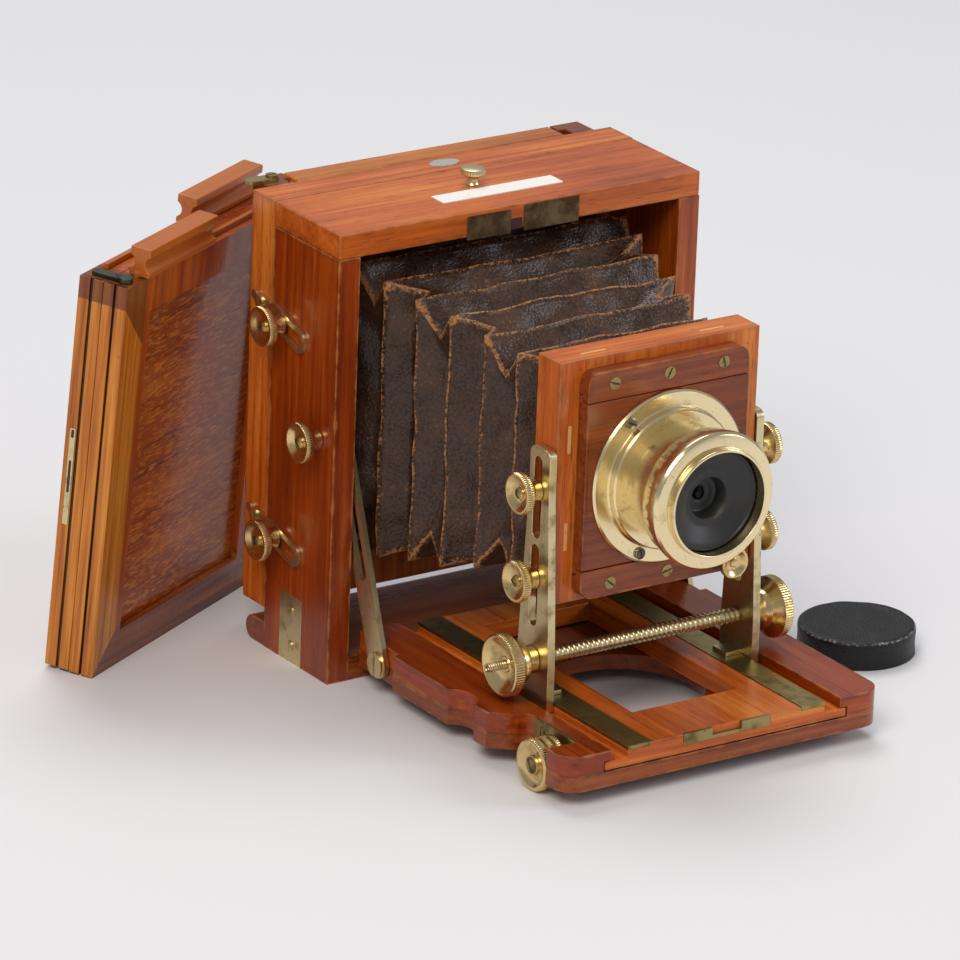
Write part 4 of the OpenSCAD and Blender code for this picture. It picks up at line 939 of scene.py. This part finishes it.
TOP_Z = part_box("top_board")[1].z / MM
LENS_LOW, LENS_HIGH = (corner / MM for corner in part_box("lens_frame"))
plate("label", BONE, "box", (0, 16, TOP_Z + 0.15), (50, 8, 0.5), 0.4, 0.12)
plate("catch_plate_left", TARNISHED, "box", (-14, -0.05, 159.2), (18, 0.5, 8.6), 0.3)
plate("catch_plate_right", TARNISHED, "box", (12, -0.05, 159.6), (23, 0.5, 9.4), 0.3)
# The catch's recess is a dark plate on the front: painted shade.
plate("catch_recess", SHADE_AND_DARK_WOOD, "box", (-2.4, -0.02, 158), (4.5, 0.4, 4), 0.3)
bm = bmesh.new()
bmesh.ops.create_circle(bm, cap_ends=True, segments=48, radius=1)
lid = bmesh.ops.extrude_face_region(bm, geom=bm.faces[:])["geom"]
bmesh.ops.translate(bm, vec=(0, 0, 0.3 * MM), verts=[v for v in lid if isinstance(v, bmesh.types.BMVert)])
bmesh.ops.scale(bm, vec=(6 * MM, 3.4 * MM, 1), verts=bm.verts)
bmesh.ops.translate(bm, vec=(0, 49.5 * MM, TOP_Z * MM - 0.1 * MM), verts=bm.verts)
bmesh.ops.recalc_face_normals(bm, faces=bm.faces)
soften(finished("zinc_oval", bm, ZINC, "swing_back", sharp=None), 0.08 * MM)
for side in (-1, 1):
    plate(f"holly_top_{side + 2}", HOLLY, "lens_front", (24.5 * side, LENS_LOW.y + 5, LENS_HIGH.z + 0.02),
          (10, 1.1, 0.3), 0.2, 0.06)
    for low_z in (77, 112):
        plate(f"holly_front_{side + 2}_{low_z}", HOLLY, "lens_front", (36.2 * side, LENS_LOW.y - 0.02, low_z),
              (1.3, 0.3, 10), 0.2, 0.06)
# The holder's catch is a brass plate; its slot is a dark plate on it, painted shade.
for name, finish, tall, size in (("holder_catch", AGED, 72, (0.5, 2.2, 36)), ("holder_slot", SHADE_AND_DARK_WOOD, 72, (0.7, 1, 12))):
    plate(name, finish, "far_half", (-0.05, (HALF_T + JOINT_GAP) / MM + 6.4, tall), size, 0.4, 0.08, HOLDER_FRAME)
plate("catch_tongue", SHADE_AND_DARK_WOOD, "far_half", (-0.02, (HALF_T + JOINT_GAP) / MM + 6.4, 88), (0.6, 1.2, 3), 0.3, 0.06,
      HOLDER_FRAME)
print("plates and slips let in")

# %% The slots of the screws
# Each slot is a thin dark plate on a screw's head: painted shade.
screw_low, screw_high = (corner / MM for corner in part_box("batten_screws"))
high, low = screw_high.z - 2.2, screw_low.z + 2.2
SCREWS = [(-22.5, high, 20), (0, high, -65), (22.5, high, 75), (-21, low, 40), (2.5, low, -15)]
for number, (x, z, angle) in enumerate(SCREWS):
    turned_by = Matrix.Translation((x * MM, screw_low.y * MM, z * MM)) @ Matrix.Rotation(math.radians(angle), 4, "Y")
    plate(f"screw_slot_{number}", SHADE_AND_DARK_WOOD, BODY["batten_screws"], (0, 0, 0), (3.9, 0.12, 0.6), 0.05, 0.02, turned_by)
print("screws slotted:", len(SCREWS))

# %% [markdown]
# ## The floor and the light
# A pale floor and a pale surround keep the eye on the wood. Three large soft lamps stand where a
# studio would put them: one high on the left in front, one above and behind, one low on the right.

# %% Floor, surround and lamps
bm = bmesh.new()
bmesh.ops.create_grid(bm, x_segments=1, y_segments=1, size=6)
ground = Finish("studio_floor", "")
ground.surface(Base_Color=tint("e3e3e6"), Roughness=0.7)
mesh = bpy.data.meshes.new("studio_floor")
bm.to_mesh(mesh)
bm.free()
mesh.materials.append(ground.material)
floor = bpy.data.objects.new("studio_floor", mesh)
scene.collection.objects.link(floor)

scene.world = bpy.data.worlds.new("surround")
scene.world.use_nodes = True
surround = scene.world.node_tree.nodes["Background"]
surround.inputs["Color"].default_value = tint("e6e8ec")
surround.inputs["Strength"].default_value = 0.42


def lamp(name, place, size, watts, colour="ffffff"):
    light = bpy.data.lights.new(name, "AREA")
    light.shape, light.size, light.energy = "DISK", size, watts
    light.color = tint(colour)[:3]
    holder = bpy.data.objects.new(name, light)
    scene.collection.objects.link(holder)
    holder.location = place
    holder.rotation_euler = (LOOK_AT - Vector(place)).to_track_quat("-Z", "Y").to_euler()


lamp("key_lamp", (-1.3, -1.0, 1.7), 1.2, 27, "fff6ea")
lamp("top_lamp", (0.3, 0.9, 1.9), 1.2, 18)
lamp("side_lamp", (1.6, -1.2, 0.9), 0.8, 12, "f2f6ff")
scene.view_settings.view_transform = "Standard"
